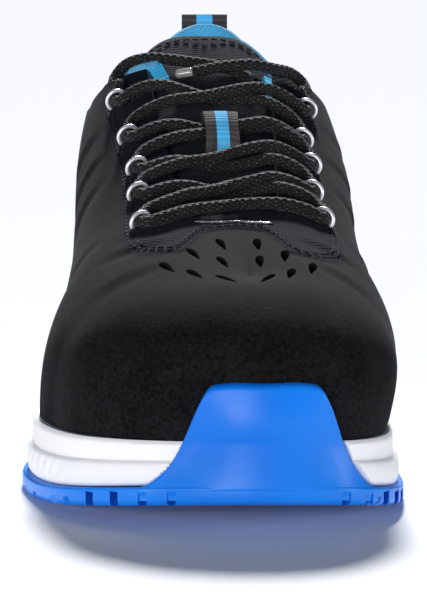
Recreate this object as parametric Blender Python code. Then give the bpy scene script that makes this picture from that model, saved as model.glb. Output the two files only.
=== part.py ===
# A low safety sneaker, right foot, toe towards -Y and the inner side of the foot towards +X.
# It stands on the plane z = 0, with the origin under the middle of its outline. Metres.
import math

import bmesh
import bpy
import numpy as np
from mathutils import Vector

MM = 0.001

# Driving sizes of the shoe
LENGTH = 300 * MM
BALL_WIDTH = 113 * MM
TOE_SPRING = 9 * MM
SPRING_SHARE = 0.23
HEEL_RISE = 2.5 * MM
HEEL_RISE_SHARE = 0.09
SOLE_TREAD = 5.2 * MM
SOLE_FORE = 21.5 * MM
SOLE_HEEL = 30 * MM
INSTEP_HEIGHT = 131 * MM
HEEL_TOP = 130 * MM
COLLAR_DIP = 103 * MM
COLLAR_FRONT = 121 * MM
FIT_GAP = 0.3 * MM

# Outsole and bumper
EDGE_ROUND = 1.6 * MM
GROOVE_WIDTH = 3.0 * MM
GROOVE_DEPTH = 2.6 * MM
GROOVE_PITCH = 13.5 * MM
BUMPER_TOP = 42 * MM
BUMPER_FOOT_WIDTH = 76 * MM
BUMPER_SHIFT = 1.5 * MM
BUMPER_GAP = 0.5 * MM
BUMPER_WALL = 3.6 * MM
BUMPER_LIP = 1.6 * MM
BUMPER_FLUSH = 0.5 * MM
BUMPER_SINK = 0.4 * MM
FLARE_POWER = 2.2
LIP_POWER = 5
GROOVE_LEAN = 14
TOE_LAND = 0.08
WAIST_LAND = 0.05
WAIST_LAND_HALF = 0.03

# Midsole
MIDSOLE_INSET = 2.2 * MM
MIDSOLE_STEP = 1.2 * MM
MIDSOLE_TOP_INSET = 3.0 * MM
MIDSOLE_BULGE = 0.7 * MM
MIDSOLE_LEDGE = 0.5 * MM
MIDSOLE_EDGE = 0.8 * MM

# Upper, insole, tongue and collar
FEATHER_INSET = 5.2 * MM
UPPER_WALL = 2.2 * MM
INSOLE_THICK = 4.0 * MM
INSOLE_CLEAR = 0.6 * MM
INSOLE_BEVEL = 1.0 * MM
THROAT_FRONT = -56 * MM
THROAT_WIDTH_LOW = 33 * MM
THROAT_WIDTH_HIGH = 42 * MM
TONGUE_THICK = 5.0 * MM
TONGUE_TOP = 52 * MM
TONGUE_TOE_END = -70 * MM
TONGUE_HALF = 24 * MM
TONGUE_FLARE = 3 * MM
TONGUE_DROP_LATERAL = 3 * MM
TONGUE_DROP_MEDIAL = 8 * MM
TONGUE_TAPER = 0.45
TONGUE_THIN = 0.25
PAD_THICK = 6.0 * MM
PAD_DEPTH = 36 * MM
PAD_RISE = 2.0 * MM
PAD_START = 0.215

# Lacing
ROWS = 5
ROW_LOW = -45 * MM
ROW_HIGH = 28.5 * MM
LOOP_SPREAD = 32 * MM
LOOP_WIDTH = 6.6 * MM
LOOP_HEIGHT = 4.8 * MM
LOOP_WIRE = 1.1 * MM
LACE_DIAMETER = 3.8 * MM
LACE_LIFT = 0.7 * MM
LACE_CLEAR = 1.4 * MM
ROUTE_STEP = 2.7
CROSSING_RISE = 0.55
KEEPER_MIDDLE = -4 * MM
KEEPER_WIDTH = 12 * MM
KEEPER_LENGTH = 15.5 * MM
KEEPER_ROOM = 1.7 * MM
LACE_SAG = 2.9 * MM
SAG_HALF = 14 * MM
LACE_BOW = 4 * MM
SAG_POWER = 0.7
STRAND_STEPS = 12
WEBBING = 1.2 * MM
TAB_WIDTH = 16.4 * MM
TAB_LEG = 26 * MM
TAB_RISE = 5.3 * MM
TAB_LEAN = 0.15

# The sole's outline, toe to heel: shares of the length, and of the ball width to either side.
OUTLINE = [
    # (along, lateral, medial)
    (0.000, 0.115, 0.115),
    (0.013, -0.075, 0.290),
    (0.043, -0.225, 0.395),
    (0.100, -0.360, 0.466),
    (0.175, -0.445, 0.495),
    (0.255, -0.4925, 0.495),
    (0.335, -0.486, 0.462),
    (0.430, -0.461, 0.400),
    (0.540, -0.415, 0.350),
    (0.660, -0.370, 0.335),
    (0.780, -0.348, 0.342),
    (0.880, -0.325, 0.325),
    (0.950, -0.245, 0.250),
    (0.988, -0.125, 0.135),
    (1.000, 0.005, 0.005),
]

# The ridge over the foot, and the arch under each place on it.
RIDGE_TOE = -0.335
RIDGE_HEEL = 0.385
RIDGE = [
    # (share of the ridge's run, height as a share of the instep height, place across as a share
    #  of the ball width, squareness of the arch, lateral and medial swell as shares of the width)
    (0.000, 0.508, 0.095, 2.40, 0.028, 0.038),
    (0.130, 0.561, 0.075, 2.40, 0.020, 0.072),
    (0.240, 0.609, 0.064, 2.42, 0.000, 0.073),
    (0.330, 0.665, 0.054, 2.48, -0.022, 0.082),
    (0.450, 0.774, 0.037, 2.66, -0.008, 0.116),
    (0.570, 0.887, 0.017, 3.04, 0.040, 0.146),
    (0.680, 0.998, -0.003, 3.50, 0.080, 0.140),
    (0.790, 1.097, -0.007, 3.70, 0.082, 0.098),
    (0.900, 1.175, -0.005, 2.60, 0.040, 0.038),
    (1.000, 1.232, 0.000, 2.35, 0.030, 0.030),
]

# The topline of the collar seen from the side: share of the length from its front corner to the
# heel, and how far it stands between the ankle's dip and the two higher ends.
TOPLINE_FRONT = 34 * MM
TOPLINE_HEEL = 0.47
TOPLINE = [
    # (along, rise: 1 is the end's own height, 0 the dip)
    (0.00, 1.00),
    (0.16, 0.62),
    (0.34, 0.10),
    (0.48, 0.00),
    (0.64, 0.11),
    (0.80, 0.44),
    (0.90, 0.73),
    (0.96, 0.92),
    (1.00, 1.00),
]

# The bumper's edge, from the middle of the toe to where it runs out on the tread.
BUMPER_PROFILE = [
    # (share of half the bumper's foot width, height as a share of the bumper's rise)
    (0.00, 1.00),
    (0.34, 0.99),
    (0.43, 0.95),
    (0.50, 0.80),
    (0.57, 0.61),
    (0.64, 0.43),
    (0.72, 0.25),
    (0.82, 0.11),
    (0.92, 0.03),
    (1.00, 0.00),
]

# Places of the lace loops, row 1 at the top.
LOOPS = [
    # (lateral along, medial along: shares of the way from the top row to the bottom one,
    #  lateral spread, medial spread: shares of the loops' spread)
    (0.00, 0.00, 1.03, 1.07),
    (0.31, 0.26, 0.94, 0.93),
    (0.56, 0.41, 0.90, 1.00),
    (0.74, 0.64, 0.93, 0.96),
    (1.00, 0.84, 0.96, 1.04),
]

# The free lace ends over the tongue, from each top loop.
LACE_ENDS = {
    # (across, along the ridge, above the upper), millimetres
    "lateral": [(-33.2, 33.2, 2.9), (-31.0, 37.0, 3.0), (-26.0, 38.2, 2.8), (-19.5, 36.6, 1.7),
                (-13.0, 34.4, 0.5), (-6.0, 32.9, -0.2), (1.0, 31.6, -0.5), (8.0, 29.4, -0.6),
                (14.0, 26.8, -0.6)],
    "medial": [(34.4, 33.4, 2.9), (32.2, 36.8, 3.0), (27.0, 36.2, 3.0), (20.0, 32.0, 3.3),
               (12.0, 28.6, 3.7), (4.0, 27.0, 2.8), (-4.0, 26.6, 1.4), (-12.0, 27.0, 0.3)],
}

# Section of the collar's padding.
PAD_SECTION = [
    # (inward as a share of its thickness, up as a share of its depth)
    (0.00, 0.00),
    (0.00, 0.35),
    (0.00, 0.75),
    (0.00, 0.94),
    (0.28, 1.00),
    (0.72, 1.00),
    (1.00, 0.92),
    (1.00, 0.60),
    (0.75, 0.25),
    (0.35, 0.00),
]

SPRING_KEPT = 0.45
SWELL_HEIGHT = 1.25
SUB = 3
HALF_STATIONS = (len(OUTLINE) - 1) * SUB
RING = 2 * HALF_STATIONS


def catmull(a, b, c, d, t):
    """A smooth value between b and c, whose neighbours are a and d."""
    return 0.5 * (2 * b + (c - a) * t + (2 * a - 5 * b + 4 * c - d) * t * t
                  + (3 * b - a - 3 * c + d) * t ** 3)


def smooth_table(rows, x, column):
    """A column of a table whose first column rises, read smoothly at x."""
    xs = [r[0] for r in rows]
    ys = [r[column] for r in rows]
    x = min(max(x, xs[0]), xs[-1])
    slopes = [0.0] * len(xs)
    for i in range(1, len(xs) - 1):
        left = (ys[i] - ys[i - 1]) / (xs[i] - xs[i - 1])
        right = (ys[i + 1] - ys[i]) / (xs[i + 1] - xs[i])
        slopes[i] = (left + right) / 2
    slopes[0] = (ys[1] - ys[0]) / (xs[1] - xs[0])
    slopes[-1] = (ys[-1] - ys[-2]) / (xs[-1] - xs[-2])
    i = max(j for j in range(len(xs) - 1) if xs[j] <= x)
    step = xs[i + 1] - xs[i]
    t = (x - xs[i]) / step
    return ((2 * t ** 3 - 3 * t * t + 1) * ys[i] + (t ** 3 - 2 * t * t + t) * step * slopes[i]
            + (3 * t * t - 2 * t ** 3) * ys[i + 1] + (t ** 3 - t * t) * step * slopes[i + 1])


def outline_xy(s):
    """The sole's outline: s runs from the toe (0) down the lateral side to the heel and back."""
    n = len(OUTLINE) - 1
    loop = [(r[1], r[0]) for r in OUTLINE] + [(r[2], r[0]) for r in OUTLINE[-2:0:-1]]
    i = math.floor(s)
    four = [loop[(i + k) % len(loop)] for k in (-1, 0, 1, 2)]
    t = s - i
    across = catmull(*[p[0] for p in four], t)
    along = catmull(*[p[1] for p in four], t)
    return Vector((across * BALL_WIDTH - CENTRE_X, (along - 0.5) * LENGTH))


def find_centre():
    """The middle of the outline's widest places, so that the origin lies under it."""
    count = 40 * len(OUTLINE)
    xs = [outline_xy(2 * (len(OUTLINE) - 1) * k / count).x for k in range(count)]
    return (max(xs) + min(xs)) / 2


CENTRE_X = 0.0
CENTRE_X = find_centre()
TURNS = 2 * (len(OUTLINE) - 1)


def outline_inset(s, inset):
    """The outline moved inwards by a distance."""
    step = 0.02
    along = outline_xy(s + step) - outline_xy(s - step)
    inward = Vector((along.y, -along.x)).normalized()
    return outline_xy(s) + inward * inset


def spring(y):
    """Height of the tread under the sole: level, rising at the toe and a little at the heel."""
    start = (SPRING_SHARE - 0.5) * LENGTH
    reach = SPRING_SHARE * LENGTH
    heel = (0.5 - HEEL_RISE_SHARE) * LENGTH
    back = max(0.0, (y - heel) / (HEEL_RISE_SHARE * LENGTH))
    return TOE_SPRING * max(0.0, (start - y) / reach) ** 1.7 + HEEL_RISE * back ** 1.6


def sole_top(y):
    """Height of the midsole's top face."""
    share = min(max((y / LENGTH + 0.5 - 0.3) / 0.45, 0.0), 1.0)
    ease = share * share * (3 - 2 * share)
    return SOLE_FORE + (SOLE_HEEL - SOLE_FORE) * ease + SPRING_KEPT * spring(min(y, 0.0))


def side_s(y, side):
    """Where on one side of the outline, lateral -1 or medial +1, it passes a given y."""
    low, high = 0.0, float(len(OUTLINE) - 1)
    for _ in range(40):
        mid = (low + high) / 2
        if outline_xy(mid).y < y:
            low = mid
        else:
            high = mid
    return low if side < 0 else TURNS - low


def ridge(share):
    """The ridge's point over the foot, how square the arch is there, and its two swells."""
    y = (RIDGE_TOE + (RIDGE_HEEL - RIDGE_TOE) * share) * LENGTH
    height = smooth_table(RIDGE, share, 1) * INSTEP_HEIGHT
    across = smooth_table(RIDGE, share, 2) * BALL_WIDTH
    swells = [smooth_table(RIDGE, share, column) * BALL_WIDTH for column in (4, 5)]
    return Vector((across, y, height)), smooth_table(RIDGE, share, 3), swells


def last_point(s, w):
    """The upper's outer face: w is 1 at the sole's edge and 0 on the ridge."""
    foot = outline_inset(s, FEATHER_INSET)
    share = outline_xy(s).y / LENGTH + 0.5
    top, square, swells = ridge(share)
    base = sole_top(foot.y) + FIT_GAP
    w = min(max(w, 0.0), 1.0)
    rise = max(0.0, 1 - w ** square) ** (1 / square)
    flat = foot * w + top.xy * (1 - w)
    outward = (foot - top.xy).normalized()
    swell = (swells[0] + swells[1]) / 2 + (swells[1] - swells[0]) / 2 * outward.x
    out = outward * swell * math.sin(math.pi * rise ** SWELL_HEIGHT) * w
    return Vector((flat.x + out.x, flat.y + out.y, base + (top.z - base) * rise))


def last_normal(s, w):
    """The outward direction of the upper's outer face."""
    ds, dw = 0.04, 0.015
    along = last_point(s + ds, w) - last_point(s - ds, w)
    up = last_point(s, w - dw) - last_point(s, w + dw)
    normal = up.cross(along)
    return normal.normalized() if normal.length > 1e-12 else Vector((0, 0, 1))


def skin(s, w, out):
    """A point at a distance outside the upper's outer face."""
    w = min(max(w, 0.0), 1.0)
    return last_point(s, w) + last_normal(s, min(max(w, 0.02), 0.985)) * out


def wall(s, z, out):
    """A point at a given height on the upper's side, a distance outside it."""
    share = outline_xy(s).y / LENGTH + 0.5
    top, square, _ = ridge(share)
    base = sole_top(outline_inset(s, FEATHER_INSET).y) + FIT_GAP
    rise = min(max((z - base) / (top.z - base), 0.0), 0.995)
    w = (1 - rise ** square) ** (1 / square)
    point = skin(s, w, 0.0)
    normal = last_normal(s, min(w, 0.985))
    flat = Vector((normal.x, normal.y, 0)).normalized()
    point = point + flat * out
    return Vector((point.x, point.y, z))


def over(y, across, out):
    """A point over the instep: y on the ridge, across measured along the skin from the ridge."""
    share = (y / LENGTH - RIDGE_TOE) / (RIDGE_HEEL - RIDGE_TOE)
    s = side_s((share - 0.5) * LENGTH, -1 if across < 0 else 1)
    steps = 60
    last, walked = last_point(s, 0.0), 0.0
    if abs(across) < 2 * MM:
        return last + Vector((across, 0, 0)) + ridge_up(y) * out
    for k in range(1, steps + 1):
        here = last_point(s, k / steps)
        step = (here - last).length
        if walked + step >= abs(across):
            return skin(s, (k - 1 + (abs(across) - walked) / step) / steps, out)
        walked += step
        last = here
    raise ValueError("this place lies below the edge of the sole")


def ridge_up(y):
    """The direction away from the ridge, square to its slope."""
    step = 2 * MM
    run = RIDGE_HEEL - RIDGE_TOE
    a = ridge(((y - step) / LENGTH - RIDGE_TOE) / run)[0]
    b = ridge(((y + step) / LENGTH - RIDGE_TOE) / run)[0]
    slope = (b - a).normalized()
    return Vector((0, -slope.z, slope.y)).normalized()


def topline(y):
    """Height of the collar's edge at a place along the shoe."""
    share = (y - TOPLINE_FRONT) / (TOPLINE_HEEL * LENGTH - TOPLINE_FRONT)
    rise = smooth_table(TOPLINE, share, 1)
    end = COLLAR_FRONT if share < 0.48 else HEEL_TOP
    return COLLAR_DIP + (end - COLLAR_DIP) * rise


def collection(name):
    made = bpy.data.collections.new(name)
    bpy.context.scene.collection.children.link(made)
    return made


def material(name, colour, roughness, metallic=0.0):
    made = bpy.data.materials.new(name)
    made.use_nodes = True
    shader = made.node_tree.nodes["Principled BSDF"]
    shader.inputs["Base Color"].default_value = (*colour, 1)
    shader.inputs["Roughness"].default_value = roughness
    shader.inputs["Metallic"].default_value = metallic
    made.diffuse_color = (*colour, 1)
    return made


def solid(name, points, faces, look, group):
    """One closed mesh with its faces turned outwards."""
    bm = bmesh.new()
    verts = [bm.verts.new(p) for p in points]
    for face in faces:
        bm.faces.new([verts[i] for i in face])
    bmesh.ops.remove_doubles(bm, verts=bm.verts, dist=0.02 * MM)
    bmesh.ops.dissolve_degenerate(bm, edges=bm.edges, dist=0.01 * MM)
    bmesh.ops.recalc_face_normals(bm, faces=bm.faces)
    mesh = bpy.data.meshes.new(name)
    bm.to_mesh(mesh)
    bm.free()
    mesh.shade_smooth()
    mesh.set_sharp_from_angle(angle=math.radians(38))
    obj = bpy.data.objects.new(name, mesh)
    if look:
        mesh.materials.append(look)
    group.objects.link(obj)
    return obj


def ring_faces(first, second, count):
    """Quads between two closed rings of points."""
    return [(first + i, first + (i + 1) % count, second + (i + 1) % count, second + i)
            for i in range(count)]


def cap_faces(first):
    """Strips across a ring, from each lateral point to its medial partner."""
    faces = [(first, first + 1, first + RING - 1)]
    for i in range(1, HALF_STATIONS - 1):
        faces.append((first + i, first + i + 1, first + RING - i - 1, first + RING - i))
    last = HALF_STATIONS
    faces.append((first + last - 1, first + last, first + last + 1))
    return faces


def stacked(name, rings, look, group):
    """A solid through closed rings round the shoe, closed across the first and the last."""
    points = [p for ring in rings for p in ring]
    faces = []
    for k in range(len(rings) - 1):
        faces += ring_faces(k * RING, (k + 1) * RING, RING)
    faces += cap_faces(0) + cap_faces((len(rings) - 1) * RING)
    return solid(name, points, faces, look, group)


def flat_ring(inset, height):
    """A ring round the sole at an inset, its height a function of y."""
    ring = []
    for i in range(RING):
        p = outline_inset(i / SUB, inset)
        ring.append(Vector((p.x, p.y, height(p.y))))
    return ring


def grid_solid(name, outer, inner, look, group):
    """A plate between two equal grids of points, closed round its four sides."""
    rows, cols = len(outer), len(outer[0])
    points = [p for row in outer for p in row] + [p for row in inner for p in row]
    half = rows * cols
    faces = []
    for r in range(rows - 1):
        for c in range(cols - 1):
            a, b = r * cols + c, (r + 1) * cols + c
            faces.append((a, a + 1, b + 1, b))
            faces.append((half + a, half + b, half + b + 1, half + a + 1))
    rim = [c for c in range(cols)]
    rim += [r * cols + cols - 1 for r in range(1, rows)]
    rim += [(rows - 1) * cols + c for c in range(cols - 2, -1, -1)]
    rim += [r * cols for r in range(rows - 2, 0, -1)]
    for k, a in enumerate(rim):
        b = rim[(k + 1) % len(rim)]
        faces.append((a, half + a, half + b, b))
    return solid(name, points, faces, look, group)


def cut(target, cutter, operation="DIFFERENCE"):
    """Cuts or joins with an exact Boolean, and keeps the result as the object's own mesh."""
    step = target.modifiers.new(operation.title(), "BOOLEAN")
    step.operation = operation
    step.solver = "EXACT"
    step.object = cutter
    bpy.context.view_layer.update()
    shape = target.evaluated_get(bpy.context.evaluated_depsgraph_get())
    mesh = bpy.data.meshes.new_from_object(shape)
    target.modifiers.clear()
    old = target.data
    target.data = mesh
    bpy.data.meshes.remove(old)


def box(name, centre, size, turn, group):
    """A box that serves as a cutter."""
    bm = bmesh.new()
    bmesh.ops.create_cube(bm, size=1.0)
    bmesh.ops.scale(bm, vec=size, verts=bm.verts)
    bmesh.ops.rotate(bm, cent=(0, 0, 0), matrix=turn, verts=bm.verts)
    bmesh.ops.translate(bm, vec=centre, verts=bm.verts)
    mesh = bpy.data.meshes.new(name)
    bm.to_mesh(mesh)
    bm.free()
    made = bpy.data.objects.new(name, mesh)
    group.objects.link(made)
    hide(made)
    return made


def hide(obj):
    obj.hide_render = True
    obj.display_type = "WIRE"


def cord(name, route, diameter, sides, look, group):
    """A round cord or wire along a smooth curve through the route's points."""
    points = smooth_route(route, ROUTE_STEP * diameter)
    curve = bpy.data.curves.new(name, "CURVE")
    curve.dimensions = "3D"
    curve.bevel_depth = diameter / 2
    curve.bevel_resolution = sides
    curve.use_fill_caps = True
    line = curve.splines.new("POLY")
    line.points.add(len(points) - 1)
    for place, p in zip(line.points, points):
        place.co = (*p, 1)
    curve.materials.append(look)
    obj = bpy.data.objects.new(name, curve)
    group.objects.link(obj)
    return obj


def smooth_route(route, spacing):
    """Points a given distance apart along a smooth curve through the route."""
    ends = [route[0] * 2 - route[1]] + list(route) + [route[-1] * 2 - route[-2]]
    fine = []
    for i in range(1, len(ends) - 2):
        for k in range(12):
            t = k / 12
            fine.append(Vector([catmull(*[ends[i + j][axis] for j in (-1, 0, 1, 2)], t)
                                for axis in range(3)]))
    fine.append(Vector(route[-1]))
    total = sum((b - a).length for a, b in zip(fine, fine[1:]))
    count = max(2, round(total / spacing))
    result, walked, target = [fine[0]], 0.0, total / count
    for a, b in zip(fine, fine[1:]):
        step = (b - a).length
        while walked + step >= target - 1e-9 and len(result) < count:
            result.append(a.lerp(b, (target - walked) / step))
            target += total / count
        walked += step
    result.append(fine[-1])
    return result


def to_mesh(obj, look, group):
    """A cord's curve made a closed mesh, so that a Boolean can take it."""
    bpy.context.view_layer.update()
    shape = obj.evaluated_get(bpy.context.evaluated_depsgraph_get())
    mesh = bpy.data.meshes.new_from_object(shape)
    bm = bmesh.new()
    bm.from_mesh(mesh)
    bmesh.ops.remove_doubles(bm, verts=bm.verts, dist=0.01 * MM)
    bmesh.ops.recalc_face_normals(bm, faces=bm.faces)
    bm.to_mesh(mesh)
    bm.free()
    name, place = obj.name, obj.matrix_world.copy()
    bpy.data.objects.remove(obj)
    mesh.materials.clear()
    mesh.materials.append(look)
    made = bpy.data.objects.new(name, mesh)
    made.matrix_world = place
    group.objects.link(made)
    return made


def bumper_edge(arc, low):
    """Height of the bumper's edge above a low line, at a distance from the toe's middle."""
    share = smooth_table(BUMPER_PROFILE, arc / (BUMPER_FOOT_WIDTH / 2), 1)
    return low + (BUMPER_TOP - low) * share


def toe_stations(count, grow):
    """Places round the toe, as distance from the toe's middle and as s on the outline."""
    foot = BUMPER_FOOT_WIDTH / 2 + 2 * grow
    fine = [(k - 600) / 100 for k in range(1201)]
    walked, arcs = 0.0, [0.0]
    for a, b in zip(fine, fine[1:]):
        walked += (outline_xy(b) - outline_xy(a)).length
        arcs.append(walked)
    middle = arcs[600]
    found = []
    for k in range(count):
        want = -foot + 2 * foot * k / (count - 1)
        s = float(np.interp(middle + want - BUMPER_SHIFT, arcs, fine))
        found.append((abs(want), s))
    return found


def bumper(name, grow, look, group):
    """The toe bumper, standing on the tread and lying against the upper."""
    rows = 9
    outer, inner = [], []
    for arc, s in toe_stations(25, grow):
        tread = spring(outline_xy(s).y)
        edge = bumper_edge(max(0.0, arc - 2 * grow), tread + SOLE_TREAD - EDGE_ROUND) + grow
        low = tread + EDGE_ROUND + BUMPER_SINK - grow
        face, back = [], []
        for r in range(rows):
            t = r / (rows - 1)
            z = low + (edge - low) * t
            flare = (FEATHER_INSET - BUMPER_FLUSH - BUMPER_WALL) * (1 - t) ** FLARE_POWER
            thick = BUMPER_WALL + flare - (BUMPER_WALL - BUMPER_LIP) * t ** LIP_POWER
            face.append(wall(s, z, thick + grow))
            back.append(wall(s, z, BUMPER_GAP - grow))
        outer.append(face)
        inner.append(back)
    return grid_solid(name, outer, inner, look, group)


def make_outsole(looks, group, cutters):
    """Tread plate with its rounded edge, cross grooves between the lugs, and the bumper."""
    rings = [
        flat_ring(EDGE_ROUND, spring),
        flat_ring(0.0, lambda y: spring(y) + EDGE_ROUND),
        flat_ring(0.0, lambda y: spring(y) + SOLE_TREAD - EDGE_ROUND / 2),
        flat_ring(EDGE_ROUND / 2, lambda y: spring(y) + SOLE_TREAD),
    ]
    plate = stacked("outsole", rings, looks["rubber"], group)
    guard = bumper("bumper_form", 0.0, looks["rubber"], cutters)
    cut(plate, guard, "UNION")
    hide(guard)
    reach = BALL_WIDTH * 1.3
    count = int(LENGTH / GROOVE_PITCH)
    for k in range(1, count):
        y = -LENGTH / 2 + LENGTH * k / count
        if y / LENGTH < TOE_LAND - 0.5 or abs(y / LENGTH - WAIST_LAND) < WAIST_LAND_HALF:
            continue
        lean = math.radians(GROOVE_LEAN if k % 2 else -GROOVE_LEAN)
        slope = (spring(y + MM) - spring(y - MM)) / (2 * MM)
        turn = Vector((0, 1, 0)).rotation_difference(Vector((0, 1, slope)).normalized())
        spin = turn.to_matrix() @ Vector((1, 0, 0)).rotation_difference(
            Vector((math.cos(lean), math.sin(lean), 0))).to_matrix()
        centre = Vector((0, y, spring(y)))
        size = (reach, GROOVE_WIDTH, 2 * GROOVE_DEPTH)
        cut(plate, box(f"groove_{k}", centre, size, spin, cutters))
    return plate


def make_midsole(looks, group, cutters):
    """Foam body between tread and upper, with a step along its side, open for the bumper."""
    def between(share):
        def height(y):
            low = spring(y) + SOLE_TREAD + FIT_GAP
            return low + (sole_top(y) - low) * share
        return height
    rings = [
        # the side's profile: inset, share of the height
        flat_ring(MIDSOLE_INSET, between(0.0)),
        flat_ring(MIDSOLE_INSET - MIDSOLE_BULGE, between(0.22)),
        flat_ring(MIDSOLE_INSET - MIDSOLE_LEDGE, between(0.50)),
        flat_ring(MIDSOLE_INSET - MIDSOLE_LEDGE + MIDSOLE_STEP, between(0.56)),
        flat_ring(MIDSOLE_TOP_INSET, between(0.90)),
        flat_ring(MIDSOLE_TOP_INSET + MIDSOLE_EDGE, between(1.0)),
    ]
    body = stacked("midsole", rings, looks["foam"], group)
    room = bumper("bumper_room", FIT_GAP, None, cutters)
    cut(body, room)
    hide(room)
    return body


def make_insole(looks, group):
    """Removable footbed inside the upper."""
    inset = FEATHER_INSET + UPPER_WALL + INSOLE_CLEAR
    rings = [
        flat_ring(inset, lambda y: sole_top(y) + FIT_GAP),
        flat_ring(inset, lambda y: sole_top(y) + INSOLE_THICK - INSOLE_BEVEL),
        flat_ring(inset + INSOLE_BEVEL, lambda y: sole_top(y) + INSOLE_THICK),
    ]
    return stacked("insole", rings, looks["lining"], group)


def upper_levels():
    """Levels from the sole's edge to the ridge, closer together where the arch turns."""
    count = 13
    return [math.cos(math.pi / 2 * k / count) ** 0.8 for k in range(count)]


def make_upper(looks, group, cutters):
    """One hollow wall over the last, cut open at the throat and the collar and underneath."""
    levels = upper_levels()
    def shell(out):
        rings = []
        for w in levels:
            rings.append([skin(i / SUB, w, out) for i in range(RING)])
        ridge_line = [skin(i / SUB, 0.0, out) for i in range(RING)]
        return rings + [ridge_line]
    outer = shell(0.0)
    inner = shell(-UPPER_WALL)
    for foot_out, foot_in in zip(outer[0], inner[0]):
        foot_in.z = foot_out.z
    inner[-1] = [p - Vector((0, 0, UPPER_WALL * 1.05)) for p in outer[-1]]
    points = [p for ring in outer + inner for p in ring]
    half = len(outer) * RING
    faces = []
    for k in range(len(outer) - 1):
        faces += ring_faces(k * RING, (k + 1) * RING, RING)
        faces += ring_faces(half + k * RING, half + (k + 1) * RING, RING)
    faces += ring_faces(0, half, RING)
    body = solid("upper", points, faces, looks["upper"], group)
    cut(body, collar_cutter(cutters))
    cut(body, throat_cutter(cutters))
    return body


def collar_cutter(cutters):
    """All that lies above the collar's edge, as one block with a curved underside."""
    across = BALL_WIDTH
    ys = [TOPLINE_FRONT + (0.56 * LENGTH - TOPLINE_FRONT) * k / 22 for k in range(23)]
    line = [(y, topline(min(y, TOPLINE_HEEL * LENGTH))) for y in ys]
    line = [(TOPLINE_FRONT - 6 * MM, COLLAR_FRONT + 5 * MM)] + line
    roof = INSTEP_HEIGHT * 1.6
    profile = line + [(line[-1][0], roof), (line[0][0], roof)]
    points = [Vector((side * across, y, z)) for side in (-1, 1) for y, z in profile]
    n = len(profile)
    faces = [(i, (i + 1) % n, n + (i + 1) % n, n + i) for i in range(n)]
    faces += [tuple(range(n)), tuple(range(2 * n - 1, n - 1, -1))]
    made = solid("collar_cutter", points, faces, None, cutters)
    hide(made)
    return made


def throat_cutter(cutters):
    """The slot between the eyestays, rounded at its toe end, seen from above."""
    low, high = THROAT_WIDTH_LOW / 2, THROAT_WIDTH_HIGH / 2
    end = THROAT_FRONT + low
    centre = over(THROAT_FRONT, 0.0, 0.0).x
    arc = [(centre + low * math.cos(a), end + low * math.sin(a))
           for a in [math.pi + math.pi * k / 12 for k in range(13)]]
    far = TOPLINE_FRONT + 40 * MM
    plan = arc + [(high, far), (-high, far)]
    n = len(plan)
    floor, roof = 0.36 * INSTEP_HEIGHT, 1.6 * INSTEP_HEIGHT
    points = [Vector((x, y, z)) for z in (floor, roof) for x, y in plan]
    faces = [(i, (i + 1) % n, n + (i + 1) % n, n + i) for i in range(n)]
    faces += [tuple(range(n)), tuple(range(2 * n - 1, n - 1, -1))]
    made = solid("throat_cutter", points, faces, None, cutters)
    hide(made)
    return made


def make_tongue(looks, group):
    """Padded tongue under the eyestays, standing out of the throat at its top."""
    lengthwise, across = 15, 13
    outer, inner = [], []
    for r in range(lengthwise):
        share = r / (lengthwise - 1)
        y = TONGUE_TOE_END + (TONGUE_TOP - TONGUE_TOE_END) * share
        half = TONGUE_HALF + TONGUE_FLARE * share
        top, under = [], []
        for c in range(across):
            place = -1 + 2 * c / (across - 1)
            drop = TONGUE_DROP_LATERAL if place < 0 else TONGUE_DROP_MEDIAL
            y_here = y - drop * place ** 2 * share ** 3
            thick = TONGUE_THICK * (1 - TONGUE_TAPER * abs(place) ** 4)
            thick *= 1 - TONGUE_THIN * (1 - share)
            depth = UPPER_WALL + 2 * FIT_GAP
            top.append(over(y_here, place * half, -depth))
            under.append(over(y_here, place * half, -depth - thick))
        outer.append(top)
        inner.append(under)
    return grid_solid("tongue", outer, inner, looks["tongue"], group)


def make_collar_pad(looks, group):
    """Padded lining inside the collar, from one side of the throat round the heel."""
    columns = 34
    start = side_s(PAD_START * LENGTH, -1)
    end = TURNS - start
    points, faces = [], []
    for k in range(columns):
        s = start + (end - start) * k / (columns - 1)
        edge = topline(last_point(s, 0.8).y) + PAD_RISE
        for inward, up in PAD_SECTION:
            z = edge - PAD_DEPTH * (1 - up)
            points.append(wall(s, z, -UPPER_WALL - 2 * FIT_GAP - PAD_THICK * inward))
    n = len(PAD_SECTION)
    for k in range(columns - 1):
        for i in range(n):
            j = (i + 1) % n
            faces.append((k * n + i, k * n + j, (k + 1) * n + j, (k + 1) * n + i))
    faces.append(tuple(range(n)))
    faces.append(tuple((columns - 1) * n + i for i in range(n)))
    return solid("collar_pad", points, faces, looks["lining"], group)


def row_y(row, side):
    """Where along the ridge a lace loop stands: row 1 is the top one."""
    share = LOOPS[row - 1][0 if side < 0 else 1]
    return ROW_HIGH + (ROW_LOW - ROW_HIGH) * share


def row_across(row, side):
    """How far across a lace loop stands, negative on the lateral side."""
    return side * LOOP_SPREAD * LOOPS[row - 1][2 if side < 0 else 3]


def make_lace_loops(looks, group):
    """A wire arch for each row and side, standing on the eyestay."""
    for row in range(1, ROWS + 1):
        for side, word in ((-1, "lateral"), (1, "medial")):
            foot = FIT_GAP + LOOP_WIRE / 2
            route = []
            for k in range(9):
                a = math.pi * k / 8
                sideways = row_across(row, side) - LOOP_WIDTH / 2 * math.cos(a)
                lift = foot + (LOOP_HEIGHT - LOOP_WIRE) * math.sin(a) ** 0.8
                route.append(over(row_y(row, side), sideways, lift))
            cord(f"lace_loop_{word}_{row}", route, LOOP_WIRE, 1, looks["wire"], group)


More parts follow.
